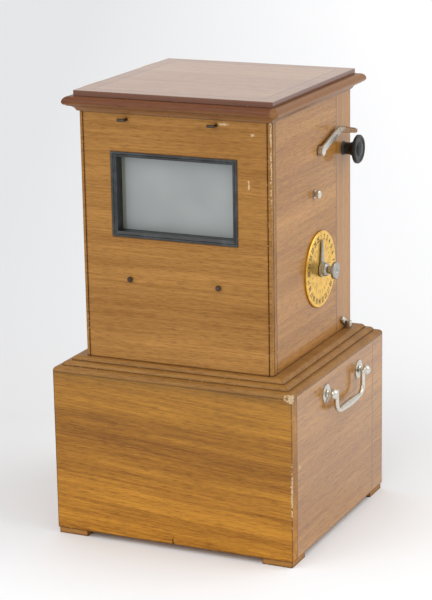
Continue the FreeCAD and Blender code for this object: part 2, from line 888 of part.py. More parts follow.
def moving_leaf(name, y):
    """A strap on the lid's edge with the middle knuckle."""
    low = y - knuckle / 2 + knuckle_gap
    length = knuckle - knuckle_gap * 2
    barrel = rod(name + "_barrel", (hinge_x, low, hinge_z), FORWARD, hinge_radius, length)
    strap_low = (hinge_x + hinge_pin * 1.2, low, leaf_high + lid_gap * 2)
    strap = box(name + "_strap", strap_low, (-lid_x, low + length, lid_high - lid_gap))
    return cut(name, fuse(name + "_blank", [barrel, strap]), [hinge_bore(name + "_bore", y)])


front_hinge_y = hinge_spread / 2
rear_hinge_y = hinge_spread / -2
group("hinge_leaves", [fixed_leaf("front_leaf", front_hinge_y), fixed_leaf("rear_leaf", rear_hinge_y)])
lid_straps = [moving_leaf("front_strap", front_hinge_y), moving_leaf("rear_strap", rear_hinge_y)]
group("lid_hinge_leaves", lid_straps)

# Window: black frame, ground glass and the bead that holds it from behind
frame_outline_depth = frame_proud + body_wall + glass_setback
frame_face_depth = frame_outline_depth - frame_proud * 0.5
frame_quirk = frame_face * 0.44
frame_outline = [
    (0, 0),
    (frame_face, 0),
    (frame_face, frame_face_depth - frame_proud * 1.3),
    (frame_face * 0.56, frame_face_depth),
    (frame_face * 0.5, frame_face_depth - frame_proud * 0.6),
    (frame_quirk, frame_face_depth, frame_quirk * 0.6, 1),
    (0, frame_face_depth),
]
framing(
    "window_frame",
    (-window_shift, inner_rear + glass_setback, optical_z),
    REAR_FACING,
    window_width,
    window_height,
    frame_outline,
    frame_face,
    frame_outline_depth,
)
glass_rear = inner_rear + glass_setback
glass_front = glass_rear + glass_thickness
box("ground_glass", (window_left, glass_rear, window_low), (window_right, glass_front, window_top))
seat = glass_setback + glass_thickness
bead_reach = glass_bead_width + glass_lip
bead_margin = glass_bead_width + slide_fit
glass_bead_outline = [
    (0, 0),
    (glass_bead_width, 0),
    (glass_bead_width, seat),
    (bead_reach, seat),
    (bead_reach, seat + glass_thickness),
    (0, seat + glass_thickness),
]
framing(
    "glass_bead",
    (-window_shift, inner_rear, optical_z),
    FRONT_FACING,
    window_width + bead_margin * 2,
    window_height + bead_margin * 2,
    glass_bead_outline,
    bead_reach,
    seat + glass_thickness,
)


def bent_pin(name, x):
    """A pin out of the screen board, bent to the left."""
    z = body_top - hook_pin_drop
    elbow = (x, -body_y - pin_standoff, z)
    shank = rod(name + "_shank", (x, -body_y, z), FORWARD * -1, pin_radius, pin_standoff)
    leg = rod(name + "_leg", elbow, RIGHT * -1, pin_radius, pin_length)
    return fuse(name, [shank, ball(name + "_elbow", elbow, pin_radius), leg])


def stud(name, x):
    """A round-headed stud in the screen board."""
    profile = [
        (0, 0),
        (stud_radius * 0.5, 0),
        (stud_radius * 0.5, stud_radius * 0.6),
        (stud_radius, stud_radius * 0.7),
        (stud_radius, stud_radius * 1.05),
        (stud_radius * 0.7, stud_radius * 1.5),
        (0, stud_radius * 1.65),
    ]
    return turned(name, (x, -body_y, deck + stud_height), FORWARD * -1, profile)


left_fixing = -fixing_shift - fixing_spread / 2
right_fixing = left_fixing + fixing_spread
group(
    "reflector_fixings",
    [
        bent_pin("left_pin", left_fixing),
        bent_pin("right_pin", right_fixing),
        stud("left_stud", left_fixing),
        stud("right_stud", right_fixing),
    ],
)

# Bushes for the two control shafts
bush_length = bush_flange_thickness + body_wall
bush_bore = shaft_radius + running_fit
bush_profile = [
    (bush_bore, 0),
    (bush_flange, 0),
    (bush_flange, bush_flange_thickness),
    (bush_radius, bush_flange_thickness),
    (bush_radius, bush_length),
    (bush_bore, bush_length),
]
bush_x = inner_x - bush_flange_thickness
dial_bush = turned("dial_bush", (bush_x, control_y, dial_z), RIGHT, bush_profile)
lever_bush = turned("lever_bush", (bush_x, control_y, lever_z), RIGHT, bush_profile)
group("shaft_bushes", [dial_bush, lever_bush])

# Dial: plate on the side, pointer with its knob, shaft with its pinion
dial_bore = shaft_radius + clear_gap
dial_plate_profile = [
    (dial_bore, 0),
    (dial_radius, 0),
    (dial_radius, dial_plate * 0.7),
    (dial_radius - dial_plate * 0.3, dial_plate),
    (dial_bore, dial_plate),
]
turned("dial_plate", (body_x, control_y, dial_z), RIGHT, dial_plate_profile)

hub_x = body_x + dial_plate + drawer_gap
hub_reach = dial_knob_reach - dial_plate - drawer_gap
shaft_end = hub_reach * 0.4
knob_neck = dial_hub * 0.5
knob_rim = dial_knob - dial_plate * 0.3
dial_knob_profile = [
    (0, shaft_end),
    (bush_bore, shaft_end),
    (bush_bore, 0),
    (dial_hub, 0),
    (dial_hub, hub_reach * 0.12),
    (dial_hub * 0.86, hub_reach * 0.15),
    (dial_hub * 0.86, hub_reach * 0.32),
    (dial_hub * 0.72, hub_reach * 0.42),
    (knob_neck, hub_reach * 0.5),
    (knob_neck, hub_reach * 0.72),
    (knob_rim, hub_reach * 0.76),
    (dial_knob, hub_reach * 0.8),
    (dial_knob, hub_reach * 0.93),
    (knob_rim, hub_reach),
    (shaft_radius, hub_reach),
    (shaft_radius * 0.6, hub_reach * 0.9),
    (0, hub_reach * 0.9),
]
knob_turning = turned("dial_knob_turning", (hub_x, control_y, dial_z), RIGHT, dial_knob_profile)
pointer_outline = [
    (-pointer_width / 2, dial_hub * 0.6),
    (pointer_width / 2, dial_hub * 0.6),
    (pointer_width * 0.16, pointer_length * 0.92),
    (0, pointer_length),
    (-pointer_width * 0.16, pointer_length * 0.92),
]
pointer = prism("pointer", (hub_x, control_y, dial_z), SIDE_FACING, pointer_outline, dial_plate * 0.75)
fuse("dial_knob", [knob_turning, pointer])

pinion_width = rack_width - drawer_gap * 2
dial_pinion_x = rack_inner + drawer_gap
dial_pinion_spot = (dial_pinion_x, control_y, dial_z)
dial_pinion = pinion("dial_pinion", dial_pinion_spot, dial_module, DIAL_TEETH, pinion_width, 1)
dial_shaft_x = dial_pinion_x - drawer_gap
dial_shaft_length = hub_x + shaft_end - dial_shaft_x
dial_bar = rod("dial_bar", (dial_shaft_x, control_y, dial_z), RIGHT, shaft_radius, dial_shaft_length)
fuse("dial_shaft", [dial_bar, dial_pinion])

# Carriage on its two rods, with the rack that the dial drives
rack_start = control_y - rack_pitch * (RACK_TEETH - 2)
rod_bore = rod_radius + running_fit


def carriage_rail(name):
    blank = box(name + "_blank", (tray_half, tray_rear, rail_bottom), (rail_outer, tray_front, tray_floor))
    bore_start = (rod_x, tray_rear - overshoot, rod_z)
    bore = rod(name + "_bore", bore_start, FORWARD, rod_bore, tray_front - tray_rear + overshoot * 2)
    return cut(name, blank, [bore])


right_rail = carriage_rail("right_rail")


def carriage_bar(name, y):
    """A cross bar between the two rails."""
    return box(name, (-tray_half, y, rail_bottom), (tray_half, y + tray_wall, tray_floor))


rear_bar = carriage_bar("rear_bar", tray_rear)
front_bar = carriage_bar("front_bar", tray_front - tray_wall)
group("carriage_rails", [right_rail, mirrored("left_rail", right_rail), rear_bar, front_bar])

rack_back = rack_line + dial_module * 1.25 + rack_body
rack_spot = (rack_inner, rack_start, rack_line)
rack_bar = rack("rack_bar", rack_spot, dial_module, RACK_TEETH, rack_body, rack_width, -1)
rack_bracket = box("rack_bracket", (rod_x, rack_start, tray_floor), (rack_inner, tray_front, rack_back))
group("carriage_rack", [rack_bar, rack_bracket])

# Slide tray: two combs on ledges, closed by end walls
tray_length = tray_front - tray_rear
comb_thickness = tray_wall + slot_depth
comb_height = tray_top - slide_seat
first_slot = tray_wall + slot_margin
half_slot = slot_width / 2


def tray_side(name):
    """One ledge."""
    low = (tray_half - tray_ledge_width, tray_rear, tray_floor)
    return box(name, low, (tray_outer, tray_front, slide_seat))


comb = toothed_bar(
    "right_comb",
    (tray_outer, tray_rear, slide_seat),
    ALONG_SIDE,
    rectangle(0, 0, tray_length, comb_thickness),
    rectangle(first_slot - half_slot, tray_wall, first_slot + half_slot, comb_thickness + overshoot),
    comb_height,
    slot_pitch,
    SLOTS,
)
right_ledge = tray_side("right_ledge")
end_x = tray_half - slot_depth
rear_end = box("rear_end", (-end_x, tray_rear, slide_seat), (end_x, tray_rear + tray_wall, tray_top))
front_end = box("front_end", (-end_x, tray_front - tray_wall, slide_seat), (end_x, tray_front, tray_top))
tray_pieces = [comb, mirrored("left_comb", comb), right_ledge, mirrored("left_ledge", right_ledge)]
group("slide_tray", tray_pieces + [rear_end, front_end])

# Guide rods between a rear block and a front bar
bracket_front = tray_front + tray_travel + front_bracket_gap
rod_low = rail_bottom - bracket_margin
rear_block_low = (-rail_outer - rack_offset / 2, inner_rear, rod_low)
rear_block_high = (rail_outer + rack_offset / 2, inner_rear + bracket_depth, tray_floor + tray_ledge)
rear_block = box("rear_block", rear_block_low, rear_block_high)
front_beam_low = (-inner_x, bracket_front - bracket_depth / 4, rod_low)
front_beam_high = (inner_x, bracket_front + bracket_depth * 0.75, tray_floor - drawer_gap)
front_beam = box("front_beam", front_beam_low, front_beam_high)
rod_length = bracket_front + bracket_depth * 0.75 - inner_rear


def rod_hole(name, x):
    return rod(name, (x, inner_rear - overshoot, rod_z), FORWARD, rod_bore, rod_length + overshoot * 2)


rear_holes = [rod_hole("rear_hole_right", rod_x), rod_hole("rear_hole_left", -rod_x)]
front_holes = [rod_hole("front_hole_right", rod_x), rod_hole("front_hole_left", -rod_x)]
rear_bracket = cut("rear_bracket", rear_block, rear_holes)
front_bracket = cut("front_bracket", front_beam, front_holes)
group("rod_brackets", [rear_bracket, front_bracket])
on_both_sides(
    "guide_rods",
    lambda name: rod(name, (rod_x, inner_rear, rod_z), FORWARD, rod_radius, rod_length),
)

# Lift lever outside, crank and pin inside
lever_turn = FreeCAD.Rotation(RIGHT, LEVER_REST).multiply(SIDE_FACING)
lever_x = body_x + lever_standoff
lever_spot = (lever_x, control_y, lever_z)
half_lever = lever_width / 2
lever_plan = rectangle(0, -half_lever, lever_length, half_lever)
lever_bar = prism("lever_bar", lever_spot, lever_turn, lever_plan, lever_thickness)
lever_lean = math.radians(LEVER_REST)
finger_y = control_y + lever_length * math.cos(lever_lean)
finger_z = lever_z + lever_length * math.sin(lever_lean)
finger_turn = FreeCAD.Rotation(RIGHT, LEVER_REST).multiply(REAR_FACING)
finger_tip = half_lever * 0.6
finger_end = lever_thickness + lever_tab - finger_tip
finger_plan = [
    (0, -half_lever),
    (finger_end, -finger_tip, finger_tip * 1.05, 1),
    (finger_end, finger_tip),
    (0, half_lever),
]
finger_spot = (lever_x, finger_y, finger_z)
lever_finger = prism("lever_finger", finger_spot, finger_turn, finger_plan, lever_thickness)
lever_boss = rod("lever_boss", lever_spot, RIGHT, lever_hub, lever_thickness)
lever_blank = fuse("lever_blank", [lever_bar, lever_finger, lever_boss])
lever_hole_start = (lever_x - overshoot, control_y, lever_z)
lever_hole = rod("lever_hole", lever_hole_start, RIGHT, bush_bore, lever_thickness + overshoot * 2)
cut("lever_arm", lever_blank, [lever_hole])

crank_high = bush_x - crank_gap
crank_x = crank_high - crank_thickness
lifter_high = crank_x - lifter_gap
lifter_x = lifter_high - lifter_thickness
lever_shaft_profile = [
    (0, 0),
    (shaft_radius, 0),
    (shaft_radius, body_x - crank_x + drawer_gap),
    (shaft_radius * 1.5, body_x - crank_x + drawer_gap),
    (shaft_radius * 1.5, lever_x - crank_x),
    (shaft_radius, lever_x - crank_x),
    (shaft_radius, lever_x - crank_x + lever_thickness),
    (shaft_radius * 1.5, lever_x - crank_x + lever_thickness),
    (shaft_radius * 1.5, lever_x - crank_x + lever_thickness * 1.6),
    (shaft_radius, lever_x - crank_x + lever_thickness * 2),
    (0, lever_x - crank_x + lever_thickness * 2),
]
lever_shaft = turned("lever_shaft", (crank_x, control_y, lever_z), RIGHT, lever_shaft_profile)
crank_turn = FreeCAD.Rotation(RIGHT, 180 + LEVER_SWING / 2).multiply(SIDE_FACING)
crank_plan = rectangle(0, -crank_width / 2, crank_radius, crank_width / 2)
crank_bar = prism("crank_bar", (crank_x, control_y, lever_z), crank_turn, crank_plan, crank_thickness)
crank_root = rod("crank_root", (crank_x, control_y, lever_z), RIGHT, crank_width * 0.65, crank_thickness)
pin_y = control_y - crank_inset
crank_tip = rod("crank_tip", (crank_x, pin_y, yoke_z), RIGHT, crank_width / 2, crank_thickness)
pin_reach = crank_x - lifter_x + lifter_gap
pin_bar = rod("crank_pin_bar", (lifter_x - lifter_gap, pin_y, yoke_z), RIGHT, crank_pin, pin_reach)
fuse("lever_crankshaft", [lever_shaft, crank_bar, crank_root, crank_tip, pin_bar])

stop_profile = [
    (0, 0),
    (stop_radius, 0),
    (stop_radius, stop_length * 0.18),
    (stop_radius * 0.7, stop_length * 0.28),
    (stop_radius * 0.7, stop_length * 0.5),
    (stop_radius, stop_length * 0.6),
    (stop_radius, stop_length * 0.88),
    (stop_radius * 0.85, stop_length),
    (0, stop_length),
]
turned("stop_stud", (body_x, control_y - stop_back, lever_z - stop_drop), RIGHT, stop_profile)

# Slide lifter: yoke and bar beside the carriage, arm and fork under it
bar_front = gate_y
bar_rear = gate_y - lifter_width
slot_rear = control_y - crank_radius - crank_pin - lifter_gap
slot_front = pin_y + crank_pin + lifter_gap
slot_half = crank_pin + yoke_play
yoke_half = slot_half + yoke_wall
arm_high = rail_bottom - slide_lift - lifter_clearance
arm_low = arm_high - lifter_arm
yoke_low = (lifter_x, slot_rear - yoke_wall * 1.4, yoke_z - yoke_half)
yoke_high = (lifter_high, slot_front + yoke_wall * 1.4, yoke_z + yoke_half)
yoke_plate = box("yoke_plate", yoke_low, yoke_high)
slot_low = (lifter_x - overshoot, slot_rear, yoke_z - slot_half)
yoke_slot = box("yoke_slot", slot_low, (lifter_high + overshoot, slot_front, yoke_z + slot_half))
lifter_stem = box("lifter_stem", (lifter_x, bar_rear, arm_low), (lifter_high, bar_front, yoke_z - slot_half))
cut("lifter_bar", fuse("lifter_blank", [yoke_plate, lifter_stem]), [yoke_slot])

beam_high = (lifter_x, bar_front + lifter_thickness, arm_high)
lifter_beam = box("lifter_beam", (-fork_reach, bar_rear, arm_low), beam_high)


def prong(name):
    low = (fork_reach - fork_prong, gate_y - fork_thickness / 2, arm_high)
    return box(name, low, (fork_reach, gate_y + fork_thickness / 2, slide_seat - drawer_gap))


right_prong = prong("right_prong")
fuse("lifter_fork", [lifter_beam, right_prong, mirrored("left_prong", right_prong)])


def lifter_guide(name, z):
    """Four blocks round the lifter bar, fast to the side board."""
    x_low = lifter_x - slide_fit
    x_high = lifter_high + slide_fit
    y_low = bar_rear - slide_fit
    y_high = bar_front + slide_fit
    rear = y_low - guide_wall
    front = y_high + guide_wall * 0.85
    top = z + guide_height
    return [
        box(name + "_inner", (x_low - guide_wall, rear, z), (x_low, front, top)),
        box(name + "_outer", (x_high, rear, z), (inner_x, front, top)),
        box(name + "_rear", (x_low, rear, z), (x_high, y_low, top)),
        box(name + "_front", (x_low, y_high, z), (x_high, front, top)),
    ]


guide_z = slide_seat + drawer_gap * 11
low_guide = lifter_guide("low_guide", guide_z)
high_guide = lifter_guide("high_guide", guide_z + guide_spacing)
group("lifter_guides", low_guide + high_guide)

# Slide gate with two windows, the channels beside it and the divider in front of it
gate_rear = gate_y + gate_offset
gate_front = gate_rear + gate_thickness
gate_low = tray_top + channel_depth + channel_wall
gate_top = gate_low + gate_height
gate_edge = inner_x - gate_lug
opening_low = optical_z - gate_window / 2
opening_top = optical_z + gate_window / 2
near_edge = eye_x - gate_window / 2
far_edge = eye_x + gate_window / 2


def gate_strip(name, left, right, low, high):
    return box(name, (left, gate_rear, low), (right, gate_front, high))


group(
    "gate_board",
    [
        gate_strip("gate_sill", -inner_x, inner_x, gate_low, opening_low),
        gate_strip("gate_head", -inner_x, gate_edge, opening_top, gate_top),
        gate_strip("gate_left", -inner_x, -far_edge, opening_low, opening_top),
        gate_strip("gate_middle", -near_edge, near_edge, opening_low, opening_top),
        gate_strip("gate_right", far_edge, gate_edge, opening_low, opening_top),
    ],
)
channel_rear = gate_rear - channel_depth
channel_top = gate_top - channel_depth
channel_web_low = (tray_half, channel_rear, gate_low)
channel_web = box("channel_web", channel_web_low, (tray_half + channel_wall, gate_rear, channel_top))
channel_edge_low = (tray_half - channel_wall, channel_rear, gate_low)
channel_edge = box("channel_edge", channel_edge_low, (tray_half, channel_rear + channel_lip, channel_top))
channel_pieces = [channel_web, channel_edge]
channel_twins = [mirrored(piece.Name + "_left", piece) for piece in channel_pieces]
group("slide_channels", channel_pieces + channel_twins)
divider_half = divider_wall / 2
divider_high = (divider_half, gate_front + divider_reach, gate_top)
box("light_divider", (-divider_half, gate_front, gate_low), divider_high)

# Eyepieces: tubes, lenses, cups, racks and the bridge between the tubes
tube_rear = inner_front - tube_inside
tube_front = body_y + tube_outside
tube_length = tube_front - tube_rear
tube_inner = tube_radius - tube_wall
lens_radius = tube_inner - running_fit
lens_rear = tube_front - lens_depth
lens_edge = lens_thickness * 0.3
lens_bulge = (lens_thickness - lens_edge) / 2
lens_curve = (lens_radius * lens_radius + lens_bulge * lens_bulge) / (lens_bulge * 2)
cup_rear = tube_front - eyecup_socket
cup_bore = tube_radius + running_fit
tube_profile = [(tube_inner, 0), (tube_radius, 0), (tube_radius, tube_length), (tube_inner, tube_length)]
lens_profile = [
    (0, 0, lens_curve, 1),
    (lens_radius, lens_bulge),
    (lens_radius, lens_bulge + lens_edge, lens_curve, 1),
    (0, lens_thickness),
]
cup_profile = [
    (cup_bore, 0),
    (cup_bore + tube_wall, 0),
    (eyecup_radius * 0.86, eyecup_socket),
    (eyecup_radius, eyecup_depth * 0.8),
    (eyecup_radius * 0.97, eyecup_depth),
    (eyecup_radius * 0.86, eyecup_depth),
    (tube_inner, eyecup_socket + tube_wall),
    (tube_inner, eyecup_socket),
    (cup_bore, eyecup_socket),
]


def turned_pair(name, y, profile):
    """The same turned piece at each eye."""
    on_both_sides(name, lambda side: turned(side, (eye_x, y, optical_z), FORWARD, profile))


turned_pair("eyepiece_tubes", tube_rear, tube_profile)
turned_pair("eyepiece_lenses", lens_rear, lens_profile)
turned_pair("eyecups", cup_rear, cup_profile)


def tube_form(name, x):
    return rod(name, (x, tube_rear - overshoot, optical_z), FORWARD, tube_radius, tube_length + overshoot * 2)


def eyepiece_rack(name):
    """A rack seated on the round of the tube."""
    start = focus_y - focus_rack_pitch * FOCUS_TEETH_BEHIND
    spot = (eye_x - focus_rack_width / 2, start, focus_rack_line)
    count = FOCUS_TEETH_BEHIND + FOCUS_TEETH_AHEAD
    bar = rack(name + "_bar", spot, focus_module, count, focus_rack_body * 1.25, focus_rack_width, 1)
    return cut(name, bar, [tube_form(name + "_seat", eye_x)])


on_both_sides("eyepiece_racks", eyepiece_rack)
bridge_low = (-eye_x, tube_rear, optical_z - bridge_height / 2)
bridge_high = (eye_x, tube_rear + bridge_thickness, optical_z + bridge_height / 2)
bridge_blank = box("bridge_blank", bridge_low, bridge_high)
bridge_seats = [tube_form("bridge_seat_right", eye_x), tube_form("bridge_seat_left", -eye_x)]
cut("eyepiece_bridge", bridge_blank, bridge_seats)

sleeve_profile = [
    (tube_bore, 0),
    (sleeve_radius, 0),
    (sleeve_radius, sleeve_thickness * 0.6),
    (sleeve_radius - sleeve_thickness * 0.4, sleeve_thickness),
    (tube_bore, sleeve_thickness),
]
turned_pair("eyepiece_sleeves", body_y, sleeve_profile)

# Focusing shaft across the cabinet, its pinions, bearing and knob
bearing_x = -(eye_x + tube_radius)
focus_knob_x = body_x + clear_gap
focus_socket = focus_knob_reach * 0.5
focus_length = focus_knob_x + focus_socket - bearing_x
focus_bar = rod("focus_bar", (bearing_x, focus_y, focus_z), RIGHT, focus_shaft_radius, focus_length)
focus_pinion_width = focus_rack_width - drawer_gap


def focus_pinion(name, x):
    spot = (x - focus_pinion_width / 2, focus_y, focus_z)
    return pinion(name, spot, focus_module, FOCUS_TEETH, focus_pinion_width, -1)


fuse("focus_shaft", [focus_bar, focus_pinion("right_pinion", eye_x), focus_pinion("left_pinion", -eye_x)])
bearing_low = (bearing_x, focus_y - focus_setback * 0.8, focus_z - focus_setback)
bearing_high = (bearing_x + focus_bearing_width, inner_front, focus_z + focus_setback)
bearing_blank = box("bearing_blank", bearing_low, bearing_high)
bore_start = (bearing_x - overshoot, focus_y, focus_z)
bearing_bore = rod("bearing_bore", bore_start, RIGHT, focus_bore, focus_bearing_width + overshoot * 2)
cut("focus_bearing", bearing_blank, [bearing_bore])

focus_neck = focus_knob_radius * 0.42
knob_edge = focus_knob_radius * 0.07
focus_knob_profile = [
    (0, focus_socket),
    (focus_bore, focus_socket),
    (focus_bore, 0),
    (focus_neck * 1.15, 0),
    (focus_neck, focus_knob_reach * 0.1),
    (focus_neck, focus_knob_reach * 0.36, focus_knob_radius * 0.65, -1),
    (focus_knob_radius - knob_edge, focus_knob_reach * 0.7),
    (focus_knob_radius, focus_knob_reach * 0.74),
    (focus_knob_radius, focus_knob_reach * 0.86),
    (focus_knob_radius - knob_edge, focus_knob_reach * 0.92),
    (focus_knob_radius * 0.8, focus_knob_reach * 0.92),
    (focus_knob_radius * 0.76, focus_knob_reach * 0.88),
    (focus_knob_radius * 0.5, focus_knob_reach * 0.88),
    (focus_knob_radius * 0.44, focus_knob_reach * 0.95),
    (focus_knob_radius * 0.2, focus_knob_reach),
    (0, focus_knob_reach),
]
turned("focus_knob", (focus_knob_x, focus_y, focus_z), RIGHT, focus_knob_profile)

# Carrying handles: two ball-headed posts a side and a drop bail between them
handle_z = base_top - handle_drop
ball_x = base_x + handle_standoff
bail_half = handle_spacing / 2 - bail_inset
post_pin = bail_pin + running_fit


def handle_post(name, y):
    """A rosette, a neck and a bored ball."""
    profile = [
        (0, 0),
        (rosette_radius, 0),
        (rosette_radius, rosette_thickness * 0.4),
        (rosette_radius * 0.75, rosette_thickness * 0.8),
        (neck_radius * 1.6, rosette_thickness),
        (neck_radius, rosette_thickness * 1.8),
        (neck_radius, handle_standoff),
        (0, handle_standoff),
    ]
    stem = turned(name + "_stem", (base_x, y, handle_z), RIGHT, profile)
    head = ball(name + "_ball", (ball_x, y, handle_z), ball_radius)
    bore = rod(name + "_bore", (ball_x, y - ball_radius * 2, handle_z), FORWARD, post_pin, ball_radius * 4)
    return cut(name, fuse(name + "_blank", [stem, head]), [bore])


post_ends = [
    handle_post("front_post", handle_forward + handle_spacing / 2),
    handle_post("rear_post", handle_forward - handle_spacing / 2),
]
group("handle_posts", post_ends + [mirrored(piece.Name + "_left", piece) for piece in post_ends])


def bail_bend_piece(name, y, spin):
    """A quarter ring at one lower corner of the bail."""
    ring = document.addObject("Part::Torus", name)
    bind(ring, "Radius1", bail_bend)
    bind(ring, "Radius2", bail_radius)
    ring.Angle3 = 90
    return place(ring, (ball_x, y, bail_z + bail_bend), SIDE_FACING.multiply(FreeCAD.Rotation(UP, spin)))


bail_z = handle_z - bail_drop
leg_length = bail_drop - bail_bend
leg_front = handle_forward + bail_half
leg_rear = handle_forward - bail_half
grip_rear = leg_rear + bail_bend
grip_length = leg_front - bail_bend - grip_rear
grip_curve = (grip_length * grip_length / 4 + grip_swell * grip_swell) / (grip_swell * 2)
grip_profile = [
    (0, 0),
    (bail_radius, 0, grip_curve, 1),
    (bail_radius, grip_length),
    (0, grip_length),
]
pin_reach_out = bail_inset + ball_radius
bail_pieces = [
    turned("bail_grip", (ball_x, grip_rear, bail_z), FORWARD, grip_profile),
    bail_bend_piece("bail_front_bend", leg_front - bail_bend, -90),
    bail_bend_piece("bail_rear_bend", grip_rear, 180),
    rod("bail_front_leg", (ball_x, leg_front, bail_z + bail_bend), UP, bail_radius, leg_length),
    rod("bail_rear_leg", (ball_x, leg_rear, bail_z + bail_bend), UP, bail_radius, leg_length),
    ball("bail_front_eye", (ball_x, leg_front, handle_z), bail_radius),
    ball("bail_rear_eye", (ball_x, leg_rear, handle_z), bail_radius),
    rod("bail_front_pin", (ball_x, leg_front, handle_z), FORWARD, bail_pin, pin_reach_out),
    rod("bail_rear_pin", (ball_x, leg_rear, handle_z), FORWARD * -1, bail_pin, pin_reach_out),
]
right_bail = fuse("right_bail", bail_pieces)
mirrored("left_bail", right_bail)

# Hold-down hooks on the front posts and their keeps on the deck
hook_y = body_y - hook_back
pivot_y = hook_y - hook_run
keep_z = deck + hook_rise
pivot_z = keep_z + hook_drop
hook_x = body_x + hook_spacer
hook_angle = math.atan2(number(hook_drop), number(hook_run))
hook_turn = FreeCAD.Rotation(RIGHT, -math.degrees(hook_angle)).multiply(SIDE_FACING)
hook_length = hook_run / math.cos(hook_angle)
hook_half = hook_width / 2
notch = hook_pin + clear_gap
hook_spot = (hook_x, pivot_y, pivot_z)
hook_plan = [
    (0, -hook_half),
    (hook_length + hook_half * 0.7, -hook_half),
    (hook_length + hook_half * 1.3, 0),
    (hook_length + hook_half * 0.7, hook_half),
    (0, hook_half),
    (-hook_half * 0.7, hook_half * 0.7),
    (-hook_half, 0),
    (-hook_half * 0.7, -hook_half * 0.7),
]
hook_blank = prism("hook_blank", hook_spot, hook_turn, hook_plan, hook_plate)
notch_plan = [
    (hook_length - notch, -hook_half - overshoot),
    (hook_length + notch, -hook_half - overshoot),
    (hook_length + notch, notch),
    (hook_length - notch, notch),
]
hook_cut_start = (hook_x - overshoot, pivot_y, pivot_z)
hook_cut = hook_plate + overshoot * 2
hook_notch = prism("hook_notch", hook_cut_start, hook_turn, notch_plan, hook_cut)
hook_hole = rod("hook_hole", hook_cut_start, RIGHT, hook_screw + running_fit, hook_cut)
right_hook = cut("right_hook", hook_blank, [hook_notch, hook_hole])
mirrored("left_hook", right_hook)

screw_run = hook_spacer + hook_plate + running_fit * 2
screw_profile = [
    (0, 0),
    (hook_screw_head, 0),
    (hook_screw_head, hook_spacer - running_fit * 2),
    (hook_screw, hook_spacer - running_fit * 2),
    (hook_screw, screw_run),
    (hook_screw_head, screw_run),
    (hook_screw_head * 0.7, screw_run + hook_spacer),
    (0, screw_run + hook_spacer),
]
hook_screw_piece = turned("right_hook_screw", (body_x, pivot_y, pivot_z), RIGHT, screw_profile)
keep_x = hook_x + hook_plate + hook_spacer
half_keep = keep_width / 2
keep_low = (keep_x, hook_y - half_keep, deck)
keep_high = (keep_x + half_keep, hook_y + half_keep, keep_z + hook_pin * 2)
keep_block = box("right_keep_block", keep_low, keep_high)
keep_pin = rod("right_keep_pin", (body_x + clear_gap, hook_y, keep_z), RIGHT, hook_pin, keep_x - body_x)
right_keep = fuse("right_keep", [keep_block, keep_pin])
fittings = [hook_screw_piece, right_keep]
group("hook_fittings", fittings + [mirrored(piece.Name + "_left", piece) for piece in fittings])

document.recompute()

# One file for each finished piece, after checking every object
NODES = [
    "feet", "base_floor", "base_sides", "base_rear_board", "base_front_posts", "base_rails",
    "base_top_board", "base_moulding", "drawer_runners", "side_boards", "screen_board", "front_posts",
    "lens_panel", "cornice", "window_frame", "ground_glass", "glass_bead", "reflector_fixings",
    "stop_stud", "dial_plate", "shaft_bushes", "lifter_guides", "gate_board", "slide_channels",
    "light_divider", "guide_rods", "rod_brackets", "eyepiece_sleeves", "focus_bearing", "hinge_leaves",
    "handle_posts", "hook_fittings", "lid_panel", "lid_battens", "lid_hinge_leaves", "lever_arm",
    "lever_crankshaft", "lifter_bar", "lifter_fork", "dial_knob", "dial_shaft", "carriage_rails",
    "carriage_rack", "slide_tray", "focus_knob", "focus_shaft", "eyepiece_tubes", "eyepiece_lenses",
    "eyecups", "eyepiece_bridge", "eyepiece_racks", "right_bail", "left_bail", "right_hook", "left_hook",
    "upper_drawer", "upper_drawer_knob", "lower_drawer", "lower_drawer_knob",
]

faults = [item.Label for item in document.Objects if {"Invalid", "Error"} & set(item.State)]
pieces = [document.getObject(name) for name in NODES]
faults += [piece.Label for piece in pieces if piece.Shape.isNull() or not piece.Shape.isValid()]
if faults:
    raise RuntimeError("faulty pieces: " + ", ".join(faults))

os.makedirs("parts", exist_ok=True)
for piece in pieces:
    piece.Shape.exportStep(f"parts/{piece.Label}.step")
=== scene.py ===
import json
import math

import bpy
from mathutils import Matrix, Vector


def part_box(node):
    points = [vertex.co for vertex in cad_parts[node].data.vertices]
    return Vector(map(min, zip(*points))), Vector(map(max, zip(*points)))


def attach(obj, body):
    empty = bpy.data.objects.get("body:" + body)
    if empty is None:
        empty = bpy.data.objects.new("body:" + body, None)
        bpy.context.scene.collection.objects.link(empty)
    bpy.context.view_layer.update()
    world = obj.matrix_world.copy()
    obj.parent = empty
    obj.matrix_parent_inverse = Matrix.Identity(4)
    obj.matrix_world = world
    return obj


# Looks for the cabinet stereo viewer: polished mahogany, ground glass, brass, nickel and ebonite.
# Metres, in the frame of the solids: +Z up, -Y the screen side, +X the control side.

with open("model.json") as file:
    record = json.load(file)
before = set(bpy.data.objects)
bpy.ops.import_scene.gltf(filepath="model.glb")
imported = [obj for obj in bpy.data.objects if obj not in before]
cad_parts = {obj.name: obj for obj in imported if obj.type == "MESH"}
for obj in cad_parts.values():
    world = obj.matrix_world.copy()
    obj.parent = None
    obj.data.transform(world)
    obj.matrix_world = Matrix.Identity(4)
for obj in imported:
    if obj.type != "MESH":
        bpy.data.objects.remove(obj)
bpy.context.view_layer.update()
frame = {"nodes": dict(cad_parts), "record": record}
nodes = frame["nodes"]
MM = 0.001


